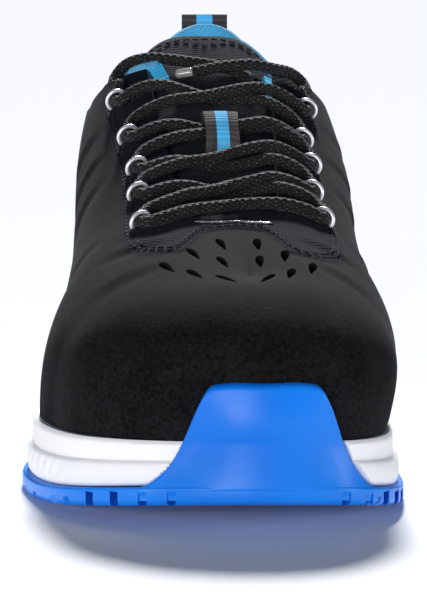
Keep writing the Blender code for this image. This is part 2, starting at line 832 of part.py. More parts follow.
def strand(row_from, row_to, side, lift):
    """A lace's route from above one loop to the mouth of the next loop across."""
    level = LACE_DIAMETER / 2 + LACE_LIFT
    past = LOOP_WIRE + LACE_DIAMETER / 2 + LACE_CLEAR
    start_y, end_y = row_y(row_from, side) + past, row_y(row_to, -side) - past
    a, b = row_across(row_from, side), row_across(row_to, -side)
    route = []
    for k in range(STRAND_STEPS + 1):
        t = k / STRAND_STEPS
        ease = t * t * (3 - 2 * t)
        y = start_y + (end_y - start_y) * ease
        bend = math.sin(math.pi * t) ** 2
        across = a + (b - a) * t
        route.append(over(y - LACE_BOW * bend, across, level + lift * bend - lace_sag(across)))
    return route


def lace_sag(across):
    """How far a strand sinks between the eyestays, at a distance from the ridge."""
    return LACE_SAG * max(0.0, 1 - (across / SAG_HALF) ** 2) ** SAG_POWER


def make_lacing(looks, group):
    """Bottom bar, four crossings, each one solid, and the two free ends over the tongue."""
    look = looks["lace"]
    level = LACE_DIAMETER / 2 + LACE_LIFT
    past = LOOP_WIRE + LACE_DIAMETER / 2 + LACE_CLEAR
    a, b = [(row_across(ROWS, side), row_y(ROWS, side) - past) for side in (-1, 1)]
    route = []
    for k in range(9):
        t = k / 8
        across = a[0] + (b[0] - a[0]) * t
        y = a[1] + (b[1] - a[1]) * t - LACE_BOW * math.sin(math.pi * t) ** 2
        route.append(over(y, across, level))
    cord("lace_bar", route, LACE_DIAMETER, 2, look, group)
    for row in range(ROWS, 1, -1):
        under = cord(f"lace_crossing_{row - 1}", strand(row, row - 1, 1, 0.0),
                     LACE_DIAMETER, 2, look, group)
        upper = cord(f"strand_{row - 1}", strand(row, row - 1, -1, LACE_DIAMETER * CROSSING_RISE),
                     LACE_DIAMETER, 2, look, group)
        under = to_mesh(under, look, group)
        upper = to_mesh(upper, look, group)
        cut(under, upper, "UNION")
        bpy.data.objects.remove(upper)


def make_lace_ends(looks, group):
    for word, rows in LACE_ENDS.items():
        route = [over(along * MM, across * MM, above * MM) for across, along, above in rows]
        cord(f"lace_end_{word}", route, LACE_DIAMETER, 2, looks["lace"], group)


def make_keeper(looks, group):
    """Webbing strap on the tongue that the laces of the middle rows pass under."""
    rows_along, rows_across = 7, 5
    outer, inner = [], []
    clear = LACE_DIAMETER * (1 + CROSSING_RISE) + LACE_LIFT - LACE_SAG + KEEPER_ROOM
    for r in range(rows_along):
        t = r / (rows_along - 1)
        y = KEEPER_MIDDLE + (t - 0.5) * KEEPER_LENGTH
        lift = (clear + UPPER_WALL) * max(0.0, math.sin(math.pi * t)) ** 0.3
        base = lift - UPPER_WALL - FIT_GAP
        across = [(-0.5 + c / (rows_across - 1)) * KEEPER_WIDTH for c in range(rows_across)]
        outer.append([over(y, x, base + WEBBING) for x in across])
        inner.append([over(y, x, base) for x in across])
    return grid_solid("tongue_keeper", outer, inner, looks["webbing"], group)


def make_heel_tab(looks, group):
    """Webbing pull tab behind the heel, sewn flat on the upper and looped above its edge."""
    heel = float(len(OUTLINE) - 1)
    edge = topline(TOPLINE_HEEL * LENGTH)
    span = tab_span()
    rows, cols = 7, 5
    outer, inner = [], []
    for r in range(rows):
        z = edge - TAB_LEG + (TAB_LEG + TAB_RISE) * r / (rows - 1)
        lean = max(0.0, z - edge) * TAB_LEAN
        for row, out in ((outer, WEBBING * 2), (inner, 0.0)):
            line = []
            for c in range(cols):
                x = (-0.5 + c / (cols - 1)) * TAB_WIDTH
                s = heel + x / TAB_WIDTH * span
                base = wall(s, min(z, edge), FIT_GAP + out)
                line.append(Vector((base.x, base.y - lean, z)))
            row.append(line)
    return grid_solid("heel_pull_tab", outer, inner, looks["webbing"], group)


def tab_span():
    """How far round the outline the pull tab's width reaches, in the outline's own rows."""
    heel = float(len(OUTLINE) - 1)
    step = 0.25
    level = HEEL_TOP - 0.1 * TAB_LEG
    run = (wall(heel + step, level, 0) - wall(heel - step, level, 0)).length
    return 2 * step * TAB_WIDTH / run


def main():
    for obj in list(bpy.data.objects):
        bpy.data.objects.remove(obj, do_unlink=True)
    group = collection("safety_sneaker")
    cutters = collection("cutters")
    looks = {
        "rubber": material("blue_rubber", (0.01, 0.22, 0.90), 0.45),
        "foam": material("white_foam", (0.86, 0.86, 0.86), 0.55),
        "upper": material("black_microfibre", (0.018, 0.018, 0.020), 0.85),
        "tongue": material("black_mesh", (0.022, 0.022, 0.026), 0.9),
        "lining": material("blue_lining", (0.08, 0.42, 0.90), 0.8),
        "lace": material("black_lace", (0.02, 0.02, 0.022), 0.75),
        "wire": material("bright_wire", (0.85, 0.85, 0.86), 0.2, 1.0),
        "webbing": material("grey_webbing", (0.08, 0.075, 0.075), 0.8),
    }
    make_outsole(looks, group, cutters)
    make_midsole(looks, group, cutters)
    make_insole(looks, group)
    make_upper(looks, group, cutters)
    make_tongue(looks, group)
    make_collar_pad(looks, group)
    make_lace_loops(looks, group)
    make_lacing(looks, group)
    make_lace_ends(looks, group)
    make_keeper(looks, group)
    make_heel_tab(looks, group)


main()
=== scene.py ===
# The looks of a low safety sneaker, right foot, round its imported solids. Metres, toe towards -Y.
import math

import bmesh
import bpy
import numpy as np
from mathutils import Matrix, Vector


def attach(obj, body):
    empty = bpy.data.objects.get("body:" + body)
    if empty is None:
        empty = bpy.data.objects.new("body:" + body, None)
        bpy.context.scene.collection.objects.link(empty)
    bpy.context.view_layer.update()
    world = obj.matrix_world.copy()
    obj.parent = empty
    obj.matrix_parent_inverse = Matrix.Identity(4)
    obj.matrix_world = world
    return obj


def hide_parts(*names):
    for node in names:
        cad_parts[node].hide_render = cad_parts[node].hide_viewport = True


bl_info = {
    "name": "Safety sneaker looks",
    "version": (1, 0, 0),
    "blender": (4, 5, 0),
    "location": "3D View > Sidebar > Sneaker",
    "description": "Models the finish of a low safety sneaker round its packed solids",
    "category": "Object",
}

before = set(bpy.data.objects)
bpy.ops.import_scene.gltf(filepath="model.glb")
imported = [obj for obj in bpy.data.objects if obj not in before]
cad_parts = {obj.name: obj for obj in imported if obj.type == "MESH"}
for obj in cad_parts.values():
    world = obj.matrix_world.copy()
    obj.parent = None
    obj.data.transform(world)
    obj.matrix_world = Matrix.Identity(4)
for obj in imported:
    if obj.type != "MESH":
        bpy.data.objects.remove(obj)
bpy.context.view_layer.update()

MM = 0.001

# Sizes that the shoe's solids are built from
LENGTH = 300 * MM
BALL_WIDTH = 113 * MM
TOE_SPRING = 9 * MM
SPRING_SHARE = 0.23
HEEL_RISE = 2.5 * MM
HEEL_RISE_SHARE = 0.09
SPRING_KEPT = 0.45
SOLE_TREAD = 5.2 * MM
SOLE_FORE = 21.5 * MM
SOLE_HEEL = 30 * MM
INSTEP_HEIGHT = 131 * MM
HEEL_TOP = 130 * MM
COLLAR_DIP = 103 * MM
COLLAR_FRONT = 121 * MM
TOPLINE_FRONT = 34 * MM
TOPLINE_HEEL = 0.47 * LENGTH
FIT_GAP = 0.3 * MM
FEATHER_INSET = 5.2 * MM
SWELL_HEIGHT = 1.25
UPPER_WALL = 2.2 * MM
THROAT_FRONT = -56 * MM
THROAT_WIDTH_LOW = 33 * MM
THROAT_WIDTH_HIGH = 42 * MM
TONGUE_TOP = 52 * MM
TONGUE_TOE_END = -70 * MM
TONGUE_THICK = 5.0 * MM
TONGUE_HALF = 24 * MM
TONGUE_FLARE = 3 * MM
TONGUE_DROP_LATERAL = 3 * MM
TONGUE_DROP_MEDIAL = 8 * MM
ROWS = 5
ROW_LOW = -45 * MM
ROW_HIGH = 28.5 * MM
LOOP_SPREAD = 32 * MM
LOOP_WIDTH = 6.6 * MM
LOOP_HEIGHT = 4.8 * MM
LOOP_WIRE = 1.1 * MM
LACE_DIAMETER = 3.8 * MM
LACE_LIFT = 0.7 * MM
CROSSING_RISE = 0.55
GROOVE_WIDTH = 3.0 * MM
GROOVE_DEPTH = 2.6 * MM
GROOVE_PITCH = 13.5 * MM
BUMPER_TOP = 42 * MM
BUMPER_FOOT_WIDTH = 76 * MM
BUMPER_SHIFT = 1.5 * MM
BUMPER_WALL = 3.6 * MM
PAD_THICK = 6.0 * MM
PAD_DEPTH = 36 * MM
PAD_RISE = 2.0 * MM
KEEPER_MIDDLE = -4 * MM
KEEPER_LENGTH = 15.5 * MM
KEEPER_WIDTH = 12 * MM
KEEPER_ROOM = 1.7 * MM
LACE_SAG = 2.9 * MM
SAG_HALF = 14 * MM
LACE_BOW = 4 * MM
STRAND_EASE = 0.6
BRAID_STRANDS = 8
BRAID_LAY = 1250.0
WEBBING = 1.2 * MM
TAB_WIDTH = 16.4 * MM
TAB_LEG = 26 * MM
TAB_RISE = 5.3 * MM
TAB_LEAN = 0.15
EYESTAY_MARGIN = 7.0 * MM
EYESTAY_FRONT = -76 * MM
EYESTAY_NOSE = 26 * MM
EYESTAY_HOLLOW = 15 * MM
COLLAR_EDGE_FROM = 25 * MM
SIDES = ((-1, "lateral"), (1, "medial"))

# Sizes of the sole's finish
TREAD_ROUND = 1.6 * MM
TREAD_CROWN = 0.9 * MM
GROOVE_LEAN = 14
TOE_LAND = -0.42
WAIST_LAND = 0.05
WAIST_LAND_HALF = 0.03
RIM_SLOTS = (-64, -54, -44, -34, -25, 25, 34, 44, 54)
RIM_SLOT_SIZE = (18 * MM, 2.6 * MM, 7.0 * MM)
RIM_SLOT_LEANS = (104, 76)
RIM_SLOT_INSET = 0.5 * MM
RIM_SLOT_RISE = 0.6 * MM
BUMPER_LIP = 1.5 * MM
BUMPER_EDGE = 2.7 * MM
BUMPER_FLAT = 3.2 * MM
BUMPER_BULGE = 1.6 * MM
BUMPER_BULGE_SHARE = 0.42
BUMPER_SWELL_RUN = 15 * MM
BUMPER_FLARE = FEATHER_INSET + 0.12 * MM
BUMPER_FLARE_RUN = 14 * MM
BUMPER_FLARE_POWER = 2.2
BUMPER_BACK = 0.25 * MM
FOAM_INSET = 2.1 * MM
FOAM_BULGE = 0.7 * MM
FOAM_LEDGE = 1.1 * MM
FOAM_LIP = 0.9 * MM
FOAM_FOOT = 0.8 * MM
FLUTE_PITCH = 7.5 * MM
FLUTE_DEPTH = 0.75 * MM

# Sizes of the lace's route
STRAND_REACH = 7 * MM
LOOP_BEFORE = 4.9 * MM
LOOP_AFTER = 5.0 * MM
TIP_POINTS = 14
TAPE_WIDTH = 4.4 * MM

# The camera, fitted to the photo
PICTURE = (427, 600)
FOCAL_PIXELS = 3069
HORIZON_ROW = -60
CAMERA_PLACE = (-0.0095, -0.975, 0.162)
CAMERA_TURN = -0.0115
FLOOR_REACH = 60.0

# The stage's lights
LAMPS = {
    # kind, place, target, power, a sun's angle or an area's side
    "back_sun": ("SUN", (0.03, 1.0, 0.83), (0, 0, 0), 4.75, math.radians(10)),
    "front_softbox": ("AREA", (-0.45, -1.75, 0.18), (0, -0.1, 0.06), 16.5, 0.6),
    "left_strip": ("AREA", (-1.1, -0.8, 0.15), (0, -0.05, 0.06), 4.5, 0.4),
    "right_strip": ("AREA", (1.1, -0.5, 0.15), (0, -0.05, 0.06), 4.0, 0.4),
}

# The sole's outline, toe to heel: shares of the length, and of the ball width to either side.
OUTLINE = [
    # (along, lateral, medial)
    (0.000, 0.115, 0.115),
    (0.013, -0.075, 0.290),
    (0.043, -0.225, 0.395),
    (0.100, -0.360, 0.466),
    (0.175, -0.445, 0.495),
    (0.255, -0.4925, 0.495),
    (0.335, -0.486, 0.462),
    (0.430, -0.461, 0.400),
    (0.540, -0.415, 0.350),
    (0.660, -0.370, 0.335),
    (0.780, -0.348, 0.342),
    (0.880, -0.325, 0.325),
    (0.950, -0.245, 0.250),
    (0.988, -0.125, 0.135),
    (1.000, 0.005, 0.005),
]

# The ridge over the foot, and the arch under each place on it.
RIDGE_TOE = -0.335
RIDGE_HEEL = 0.385
RIDGE = [
    # (share of the ridge's run, height as a share of the instep height, place across as a share
    #  of the ball width, squareness of the arch, lateral and medial swell as shares of the width)
    (0.000, 0.508, 0.095, 2.40, 0.028, 0.038),
    (0.130, 0.561, 0.075, 2.40, 0.020, 0.072),
    (0.240, 0.609, 0.064, 2.42, 0.000, 0.073),
    (0.330, 0.665, 0.054, 2.48, -0.022, 0.082),
    (0.450, 0.774, 0.037, 2.66, -0.008, 0.116),
    (0.570, 0.887, 0.017, 3.04, 0.040, 0.146),
    (0.680, 0.998, -0.003, 3.50, 0.080, 0.140),
    (0.790, 1.097, -0.007, 3.70, 0.082, 0.098),
    (0.900, 1.175, -0.005, 2.60, 0.040, 0.038),
    (1.000, 1.232, 0.000, 2.35, 0.030, 0.030),
]

# The collar's edge from the side: share from its front corner to the heel, and its rise from
# the ankle's dip (0) to the end's own height (1).
TOPLINE = [
    # (along, rise)
    (0.00, 1.00),
    (0.16, 0.62),
    (0.34, 0.10),
    (0.48, 0.00),
    (0.64, 0.11),
    (0.80, 0.44),
    (0.90, 0.73),
    (0.96, 0.92),
    (1.00, 1.00),
]

# The bumper's edge, from the middle of the toe to where it runs out on the tread.
BUMPER_PROFILE = [
    # (share of half the bumper's foot width, height as a share of the bumper's rise)
    (0.00, 1.00),
    (0.34, 0.99),
    (0.43, 0.95),
    (0.50, 0.80),
    (0.57, 0.61),
    (0.64, 0.43),
    (0.72, 0.25),
    (0.82, 0.11),
    (0.92, 0.03),
    (1.00, 0.00),
]

# Places of the lace loops, row 1 at the top.
LOOPS = [
    # (lateral along, medial along: shares of the way from the top row to the bottom one,
    #  lateral spread, medial spread: shares of the loops' spread)
    (0.00, 0.00, 1.03, 1.07),
    (0.31, 0.26, 0.94, 0.93),
    (0.56, 0.41, 0.90, 1.00),
    (0.74, 0.64, 0.93, 0.96),
    (1.00, 0.84, 0.96, 1.04),
]

# The free lace ends over the tongue, from each top loop.
LACE_ENDS = {
    # (across, along the ridge, above the upper), millimetres
    "lateral": [(-33.2, 33.2, 2.9), (-31.0, 37.0, 3.0), (-26.0, 38.2, 2.8), (-19.5, 36.6, 1.7),
                (-13.0, 34.4, 0.5), (-6.0, 32.9, -0.2), (1.0, 31.6, -0.5), (8.0, 29.4, -0.6),
                (14.0, 26.8, -0.6)],
    "medial": [(34.4, 33.4, 2.9), (32.2, 36.8, 3.0), (27.0, 36.2, 3.0), (20.0, 32.0, 3.3),
               (12.0, 28.6, 3.7), (4.0, 27.0, 2.8), (-4.0, 26.6, 1.4), (-12.0, 27.0, 0.3)],
}

# Soft creases in the upper: place along the ridge, how far across they start and end along the
# skin, how much they slant towards the heel, width and depth.
CREASES = [
    # (along, from, to, slant, width, depth), millimetres
    (-58, 24, 46, 10, 5.0, 0.55),
    (-72, 30, 54, 8, 5.5, 0.45),
    (-30, 46, 66, 12, 6.0, 0.45),
    (6, 44, 70, 14, 4.5, 0.40),
    (20, 42, 72, 16, 4.0, 0.45),
    (34, 44, 70, 14, 4.5, 0.35),
    (60, 26, 60, -6, 7.0, 0.50),
]

# Blue tapes beside the tongue's top, each from one end to the other.
TONGUE_TAPES = {
    # (along, across), millimetres
    "lateral": ((38.0, -19.2), (26.0, -16.2)),
    "medial": ((31.0, 20.2), (23.0, 20.6)),
}

# Teardrop holes in the vamp.
HOLES = [
    # (along, across, lean in degrees), millimetres
    (-78.5, -28.4, 15),
    (-76.5, -17.6, 12),
    (-88.5, -22.0, 11),
    (-73.5, -6.6, 9),
    (-87.0, -9.0, 8),
    (-97.0, -15.0, 7),
    (-72.8, 7.2, 2),
    (-87.0, 7.1, 2),
    (-98.0, 13.0, 0),
    (-77.0, 17.9, -2),
    (-88.5, 21.1, -4),
    (-77.0, 29.1, -4),
]

TURNS = 2 * (len(OUTLINE) - 1)
RUN = RIDGE_HEEL - RIDGE_TOE


class ShoeSizes(bpy.types.PropertyGroup):
    """Sizes of the fine work that a user may change."""
    stitch_pitch: bpy.props.FloatProperty(
        name="Stitch pitch", description="Distance from one stitch to the next",
        default=3.0 * MM, min=1 * MM, unit="LENGTH")
    stitch_length: bpy.props.FloatProperty(
        name="Stitch length", description="Visible length of one stitch",
        default=1.9 * MM, min=0.5 * MM, unit="LENGTH")
    thread: bpy.props.FloatProperty(
        name="Thread", description="Diameter of the sewing thread",
        default=0.55 * MM, min=0.1 * MM, unit="LENGTH")
    hole_width: bpy.props.FloatProperty(
        name="Hole width", description="Width of a teardrop hole in the vamp",
        default=3.8 * MM, min=0.5 * MM, unit="LENGTH")
    hole_length: bpy.props.FloatProperty(
        name="Hole length", description="Length of a teardrop hole in the vamp",
        default=10.5 * MM, min=0.5 * MM, unit="LENGTH")


class ShoeColours(bpy.types.PropertyGroup):
    """Colours of the shoe's materials."""
    rubber: bpy.props.FloatVectorProperty(
        name="Rubber", description="Outsole and toe bumper", subtype="COLOR",
        default=(0.000, 0.158, 0.72))
    foam: bpy.props.FloatVectorProperty(
        name="Foam", description="Midsole", subtype="COLOR", default=(0.93, 0.93, 0.92))
    microfibre: bpy.props.FloatVectorProperty(
        name="Microfibre", description="Napped upper", subtype="COLOR",
        default=(0.0042, 0.0042, 0.0046))
    textile: bpy.props.FloatVectorProperty(
        name="Textile", description="Tongue and eyestays", subtype="COLOR",
        default=(0.0045, 0.0052, 0.0090))
    lining: bpy.props.FloatVectorProperty(
        name="Lining", description="Collar lining and webbing stripe", subtype="COLOR",
        default=(0.060, 0.52, 0.98))
    lace: bpy.props.FloatVectorProperty(
        name="Lace", description="Braided lace", subtype="COLOR", default=(0.0050, 0.0050, 0.0058))
    webbing: bpy.props.FloatVectorProperty(
        name="Webbing", description="Sides of keeper and pull tab", subtype="COLOR",
        default=(0.060, 0.052, 0.050))


# Shape of the last, worked out on whole arrays of places at once


def table(rows, x, column):
    """A column of a table whose first column rises, read smoothly at x."""
    rows = np.array(rows, float)
    xs, ys = rows[:, 0], rows[:, column]
    x = np.clip(np.asarray(x, float), xs[0], xs[-1])
    rate = np.diff(ys) / np.diff(xs)
    slopes = np.concatenate([rate[:1], (rate[1:] + rate[:-1]) / 2, rate[-1:]])
    i = np.clip(np.searchsorted(xs, x, side="right") - 1, 0, len(xs) - 2)
    step = xs[i + 1] - xs[i]
    t = (x - xs[i]) / step
    return ((2 * t ** 3 - 3 * t * t + 1) * ys[i] + (t ** 3 - 2 * t * t + t) * step * slopes[i]
            + (3 * t * t - 2 * t ** 3) * ys[i + 1] + (t ** 3 - t * t) * step * slopes[i + 1])


def catmull(four, t):
    """A smooth value between the second and third of four."""
    a, b, c, d = four
    return 0.5 * (2 * b + (c - a) * t + (2 * a - 5 * b + 4 * c - d) * t * t
                  + (3 * b - a - 3 * c + d) * t ** 3)


LOOP = np.array([(r[1], r[0]) for r in OUTLINE] + [(r[2], r[0]) for r in OUTLINE[-2:0:-1]])


def raw_outline(s):
    """The outline table's smooth curve, in shares."""
    s = np.asarray(s, float)
    i = np.floor(s).astype(int)
    t = (s - i)[..., None]
    four = [LOOP[(i + k) % len(LOOP)] for k in (-1, 0, 1, 2)]
    return catmull(four, t)


def outline(s):
    """The sole's outline: s runs from the toe (0) down the lateral side to the heel and back."""
    share = raw_outline(s)
    return np.stack([share[..., 0] * BALL_WIDTH - CENTRE_X,
                     (share[..., 1] - 0.5) * LENGTH], -1)


_places = np.arange(40 * len(OUTLINE)) * TURNS / (40 * len(OUTLINE))
_widths = raw_outline(_places)[:, 0] * BALL_WIDTH
CENTRE_X = float(_widths.max() + _widths.min()) / 2


def unit(v):
    """Directions of length one."""
    return v / np.maximum(np.linalg.norm(v, axis=-1, keepdims=True), 1e-12)


def distances(line):
    """How far along a line each of its points lies."""
    return np.concatenate([[0], np.cumsum(np.linalg.norm(np.diff(line, axis=0), axis=1))])


def toe_place(arcs):
    """Where on the outline places lie, from their distances round the toe's middle."""
    near = np.linspace(-6, 6, 1201)
    walked = distances(outline(near))
    return np.interp(np.interp(0, near, walked) + arcs, walked, near)


def inset(s, distance):
    """The outline moved inwards."""
    along = outline(np.asarray(s) + 0.02) - outline(np.asarray(s) - 0.02)
    inward = unit(np.stack([along[..., 1], -along[..., 0]], -1))
    return outline(s) + inward * np.asarray(distance)[..., None]


def spring(y):
    """Height of the tread: level, rising at the toe and a little at the heel."""
    start = (SPRING_SHARE - 0.5) * LENGTH
    back = np.maximum(0.0, (y - (0.5 - HEEL_RISE_SHARE) * LENGTH) / (HEEL_RISE_SHARE * LENGTH))
    front = np.maximum(0.0, (start - y) / (SPRING_SHARE * LENGTH))
    return TOE_SPRING * front ** 1.7 + HEEL_RISE * back ** 1.6


def sole_top(y):
    """Height of the midsole's top face."""
    share = np.clip((y / LENGTH + 0.2) / 0.45, 0.0, 1.0)
    ease = share * share * (3 - 2 * share)
    return SOLE_FORE + (SOLE_HEEL - SOLE_FORE) * ease + SPRING_KEPT * spring(np.minimum(y, 0.0))


def ridge(share):
    """The ridge's point, how square the arch is there, and the swell to either side."""
    point = np.stack([table(RIDGE, share, 2) * BALL_WIDTH,
                      (RIDGE_TOE + RUN * np.asarray(share, float)) * LENGTH,
                      table(RIDGE, share, 1) * INSTEP_HEIGHT], -1)
    swells = [table(RIDGE, share, column) * BALL_WIDTH for column in (4, 5)]
    return point, table(RIDGE, share, 3), swells


def face(s, w):
    """The upper's outer face: w is 1 at the sole's edge and 0 on the ridge."""
    s, w = np.broadcast_arrays(np.asarray(s, float), np.clip(np.asarray(w, float), 0, 1))
    foot = inset(s, FEATHER_INSET)
    share = outline(s)[..., 1] / LENGTH + 0.5
    top, square, swells = ridge(share)
    base = sole_top(foot[..., 1]) + FIT_GAP
    rise = np.maximum(0.0, 1 - w ** square) ** (1 / square)
    outward = unit(foot - top[..., :2])
    swell = (swells[0] + swells[1]) / 2 + (swells[1] - swells[0]) / 2 * outward[..., 0]
    out = (swell * np.sin(math.pi * rise ** SWELL_HEIGHT) * w)[..., None] * outward
    flat = foot * w[..., None] + top[..., :2] * (1 - w[..., None]) + out
    return np.concatenate([flat, (base + (top[..., 2] - base) * rise)[..., None]], -1)


def face_normal(s, w):
    """The outward direction of the upper's outer face."""
    w = np.clip(w, 0.02, 0.985)
    along = face(s + 0.04, w) - face(s - 0.04, w)
    up = face(s, w - 0.015) - face(s, w + 0.015)
    return unit(np.cross(up, along))


def skin(s, w, out):
    """Points at a distance outside the upper's outer face."""
    s, w, out = np.broadcast_arrays(np.asarray(s, float), np.asarray(w, float), out)
    return face(s, w) + face_normal(s, w) * out[..., None]


def wall(s, z, out):
    """Points at a height on the upper's side, a level distance outside it."""
    s, z, out = np.broadcast_arrays(np.asarray(s, float), np.asarray(z, float), out)
    share = outline(s)[..., 1] / LENGTH + 0.5
    top, square, _ = ridge(share)
    base = sole_top(inset(s, FEATHER_INSET)[..., 1]) + FIT_GAP
    rise = np.clip((z - base) / (top[..., 2] - base), 0.0, 0.995)
    w = (1 - rise ** square) ** (1 / square)
    normal = face_normal(s, np.minimum(w, 0.985))
    normal[..., 2] = 0
    point = face(s, w) + unit(normal) * out[..., None]
    point[..., 2] = z
    return point


SIDE_PLACES = np.linspace(0, len(OUTLINE) - 1, 4001)
SIDE_YS = outline(SIDE_PLACES)[:, 1]


def side_s(y, side):
    """Where on one side of the outline, lateral -1 or medial +1, it passes a given y."""
    s = np.interp(y, SIDE_YS, SIDE_PLACES)
    return np.where(np.asarray(side) < 0, s, TURNS - s)


def over(y, across, out):
    """Points over the instep: y on the ridge, across measured along the skin from the ridge."""
    y, across, out = [a.astype(float) for a in np.broadcast_arrays(y, across, out)]
    shape = y.shape
    y, across, out = y.ravel(), across.ravel(), out.ravel()
    share = (y / LENGTH - RIDGE_TOE) / RUN
    s = side_s((share - 0.5) * LENGTH, np.where(across < 0, -1, 1))
    steps = 60
    line = face(s[:, None], np.linspace(0, 1, steps + 1)[None])
    walked = np.cumsum(np.linalg.norm(np.diff(line, axis=1), axis=2), 1)
    walked = np.concatenate([np.zeros((len(y), 1)), walked], 1)
    k = np.clip((walked < np.abs(across)[:, None]).sum(1), 1, steps)
    row = np.arange(len(y))
    part = (np.abs(across) - walked[row, k - 1]) / (walked[row, k] - walked[row, k - 1])
    point = skin(s, (k - 1 + np.clip(part, 0, 1)) / steps, out)
    level = line[:, 0] + np.stack([across, 0 * y, 0 * y], 1) + ridge_up(y) * out[:, None]
    near = smoothstep(1.5 * MM, 4 * MM, np.abs(across))[:, None]
    return (level * (1 - near) + point * near).reshape(*shape, 3)


def ridge_up(y):
    """The direction away from the ridge, square to its slope."""
    ends = [ridge(((y + step) / LENGTH - RIDGE_TOE) / RUN)[0] for step in (-2 * MM, 2 * MM)]
    slope = unit(ends[1] - ends[0])
    return unit(np.stack([0 * slope[..., 0], -slope[..., 2], slope[..., 1]], -1))


def smoothstep(low, high, x):
    """0 below low, 1 above high, smooth between."""
    t = np.clip((x - low) / (high - low), 0, 1)
    return t * t * (3 - 2 * t)


def topline(y):
    """Height of the collar's edge at a place along the shoe."""
    share = (y - TOPLINE_FRONT) / (TOPLINE_HEEL - TOPLINE_FRONT)
    end = np.where(share < 0.48, COLLAR_FRONT, HEEL_TOP)
    return COLLAR_DIP + (end - COLLAR_DIP) * table(TOPLINE, share, 1)


def row_y(row, side):
    """Where along the ridge a lace loop stands: row 1 is the top one."""
    return ROW_HIGH + (ROW_LOW - ROW_HIGH) * LOOPS[row - 1][0 if side < 0 else 1]


def row_across(row, side):
    """How far across a lace loop stands, negative on the lateral side."""
    return side * LOOP_SPREAD * LOOPS[row - 1][2 if side < 0 else 3]


def loop_line(along, side):
    """How far across the line through one side's loops runs, at a place along the ridge."""
    places = [row_y(row, side) for row in range(ROWS, 0, -1)]
    reach = [abs(row_across(row, side)) for row in range(ROWS, 0, -1)]
    smooth = np.polyfit(places, reach, 2)
    return np.polyval(smooth, np.clip(along, places[0], places[-1]))


# Shader recipes


class Value:
    """A number that varies over a surface, so that shader maths reads as plain expressions."""

    def __init__(self, finish, socket):
        self.finish, self.socket = finish, socket

    def math(self, operation, *others, clamp=False):
        settings = {"operation": operation, "use_clamp": clamp}
        made = self.finish.node("Math", settings, *others)
        return Value(self.finish, made.outputs[0])

    def __add__(self, other):
        return self.math("ADD", self, other)

    def __sub__(self, other):
        return self.math("SUBTRACT", self, other)

    def __rsub__(self, other):
        return self.math("SUBTRACT", other, self)

    def __mul__(self, other):
        return self.math("MULTIPLY", self, other)

    def __truediv__(self, other):
        return self.math("DIVIDE", self, other)

    def __pow__(self, other):
        return self.math("POWER", self, other)

    __radd__ = __add__
    __rmul__ = __mul__

    def sine(self):
        return self.math("SINE", self)

    def size(self):
        return self.math("ABSOLUTE", self)

    def clamp(self):
        return self.math("MULTIPLY", self, 1.0, clamp=True)

    def step(self, low, high):
        """0 below low, 1 above high, smooth between."""
        made = self.finish.node("MapRange", {"interpolation_type": "SMOOTHSTEP"},
                                self, low, high, 0.0, 1.0)
        return Value(self.finish, made.outputs[0])


class Finish:
    """One Principled material under construction."""

    def __init__(self, name, colour, roughness, metallic=0.0):
        self.material = bpy.data.materials.new(name)
        self.material.use_nodes = True
        self.tree = self.material.node_tree
        self.shader = self.tree.nodes["Principled BSDF"]
        self.set("Base Color", (*colour, 1))
        self.set("Roughness", roughness)
        self.set("Metallic", metallic)
        self.material.diffuse_color = (*colour, 1)

    def set(self, socket, value):
        self.shader.inputs[socket].default_value = value
        return self

    def node(self, kind, settings=None, *inputs, **named):
        """Any node: its settings first, then its sockets by order or by name."""
        made = self.tree.nodes.new("ShaderNode" + kind)
        for key, value in (settings or {}).items():
            setattr(made, key, value)
        for place, value in list(enumerate(inputs)) + list(named.items()):
            key = place if isinstance(place, int) else place.replace("_", " ")
            self.feed(made.inputs[key], value)
        return made

    def feed(self, socket, value):
        if isinstance(value, Value):
            value = value.socket
        if isinstance(value, bpy.types.NodeSocket):
            self.tree.links.new(value, socket)
        elif value is not None:
            socket.default_value = value

    def place(self):
        return self.node("TexCoord").outputs["Object"]

    def attribute(self, name):
        made = self.node("Attribute", {"attribute_name": name})
        return Value(self, made.outputs["Fac"])

    def uv(self):
        """The piece's own map, as two values."""
        made = self.node("SeparateXYZ", None, self.node("UVMap").outputs["UV"])
        return Value(self, made.outputs[0]), Value(self, made.outputs[1])

    def axes(self):
        made = self.node("SeparateXYZ", None, self.place())
        return [Value(self, made.outputs[k]) for k in range(3)]

    def noise(self, scale, detail=3.0, roughness=0.55, stretch=None):
        where = self.place()
        if stretch:
            where = self.node("Mapping", None, Vector=where, Scale=stretch).outputs[0]
        made = self.node("TexNoise", None, Vector=where, Scale=scale, Detail=detail,
                         Roughness=roughness)
        return Value(self, made.outputs["Fac"])

    def cells(self, scale):
        made = self.node("TexVoronoi", None, Vector=self.place(), Scale=scale)
        return Value(self, made.outputs["Distance"])

    def blend(self, share, a, b):
        """Colour a where share is 0, and b where it is 1."""
        made = self.node("Mix", {"data_type": "RGBA"})
        self.feed(made.inputs["Factor"], share)
        for key, value in (("A", a), ("B", b)):
            socket = [i for i in made.inputs if i.name == key and i.type == "RGBA"][0]
            self.feed(socket, (*value, 1) if isinstance(value, tuple) else value)
        return [o for o in made.outputs if o.type == "RGBA"][0]

    def colour(self, value):
        self.feed(self.shader.inputs["Base Color"], value)
        return self

    def gloss(self, value):
        self.feed(self.shader.inputs["Roughness"], value)
        return self

    def relief(self, *layers):
        """Bumps, each a height value, a strength and a depth in metres."""
        normal = None
        for height, strength, depth in layers:
            made = self.node("Bump", None, Strength=strength, Distance=depth, Height=height)
            if normal is not None:
                self.feed(made.inputs["Normal"], normal)
            normal = made.outputs["Normal"]
        self.feed(self.shader.inputs["Normal"], normal)
        return self


def dimmed(colour, share):
    """A colour made darker or brighter."""
    return tuple(c * share for c in colour)


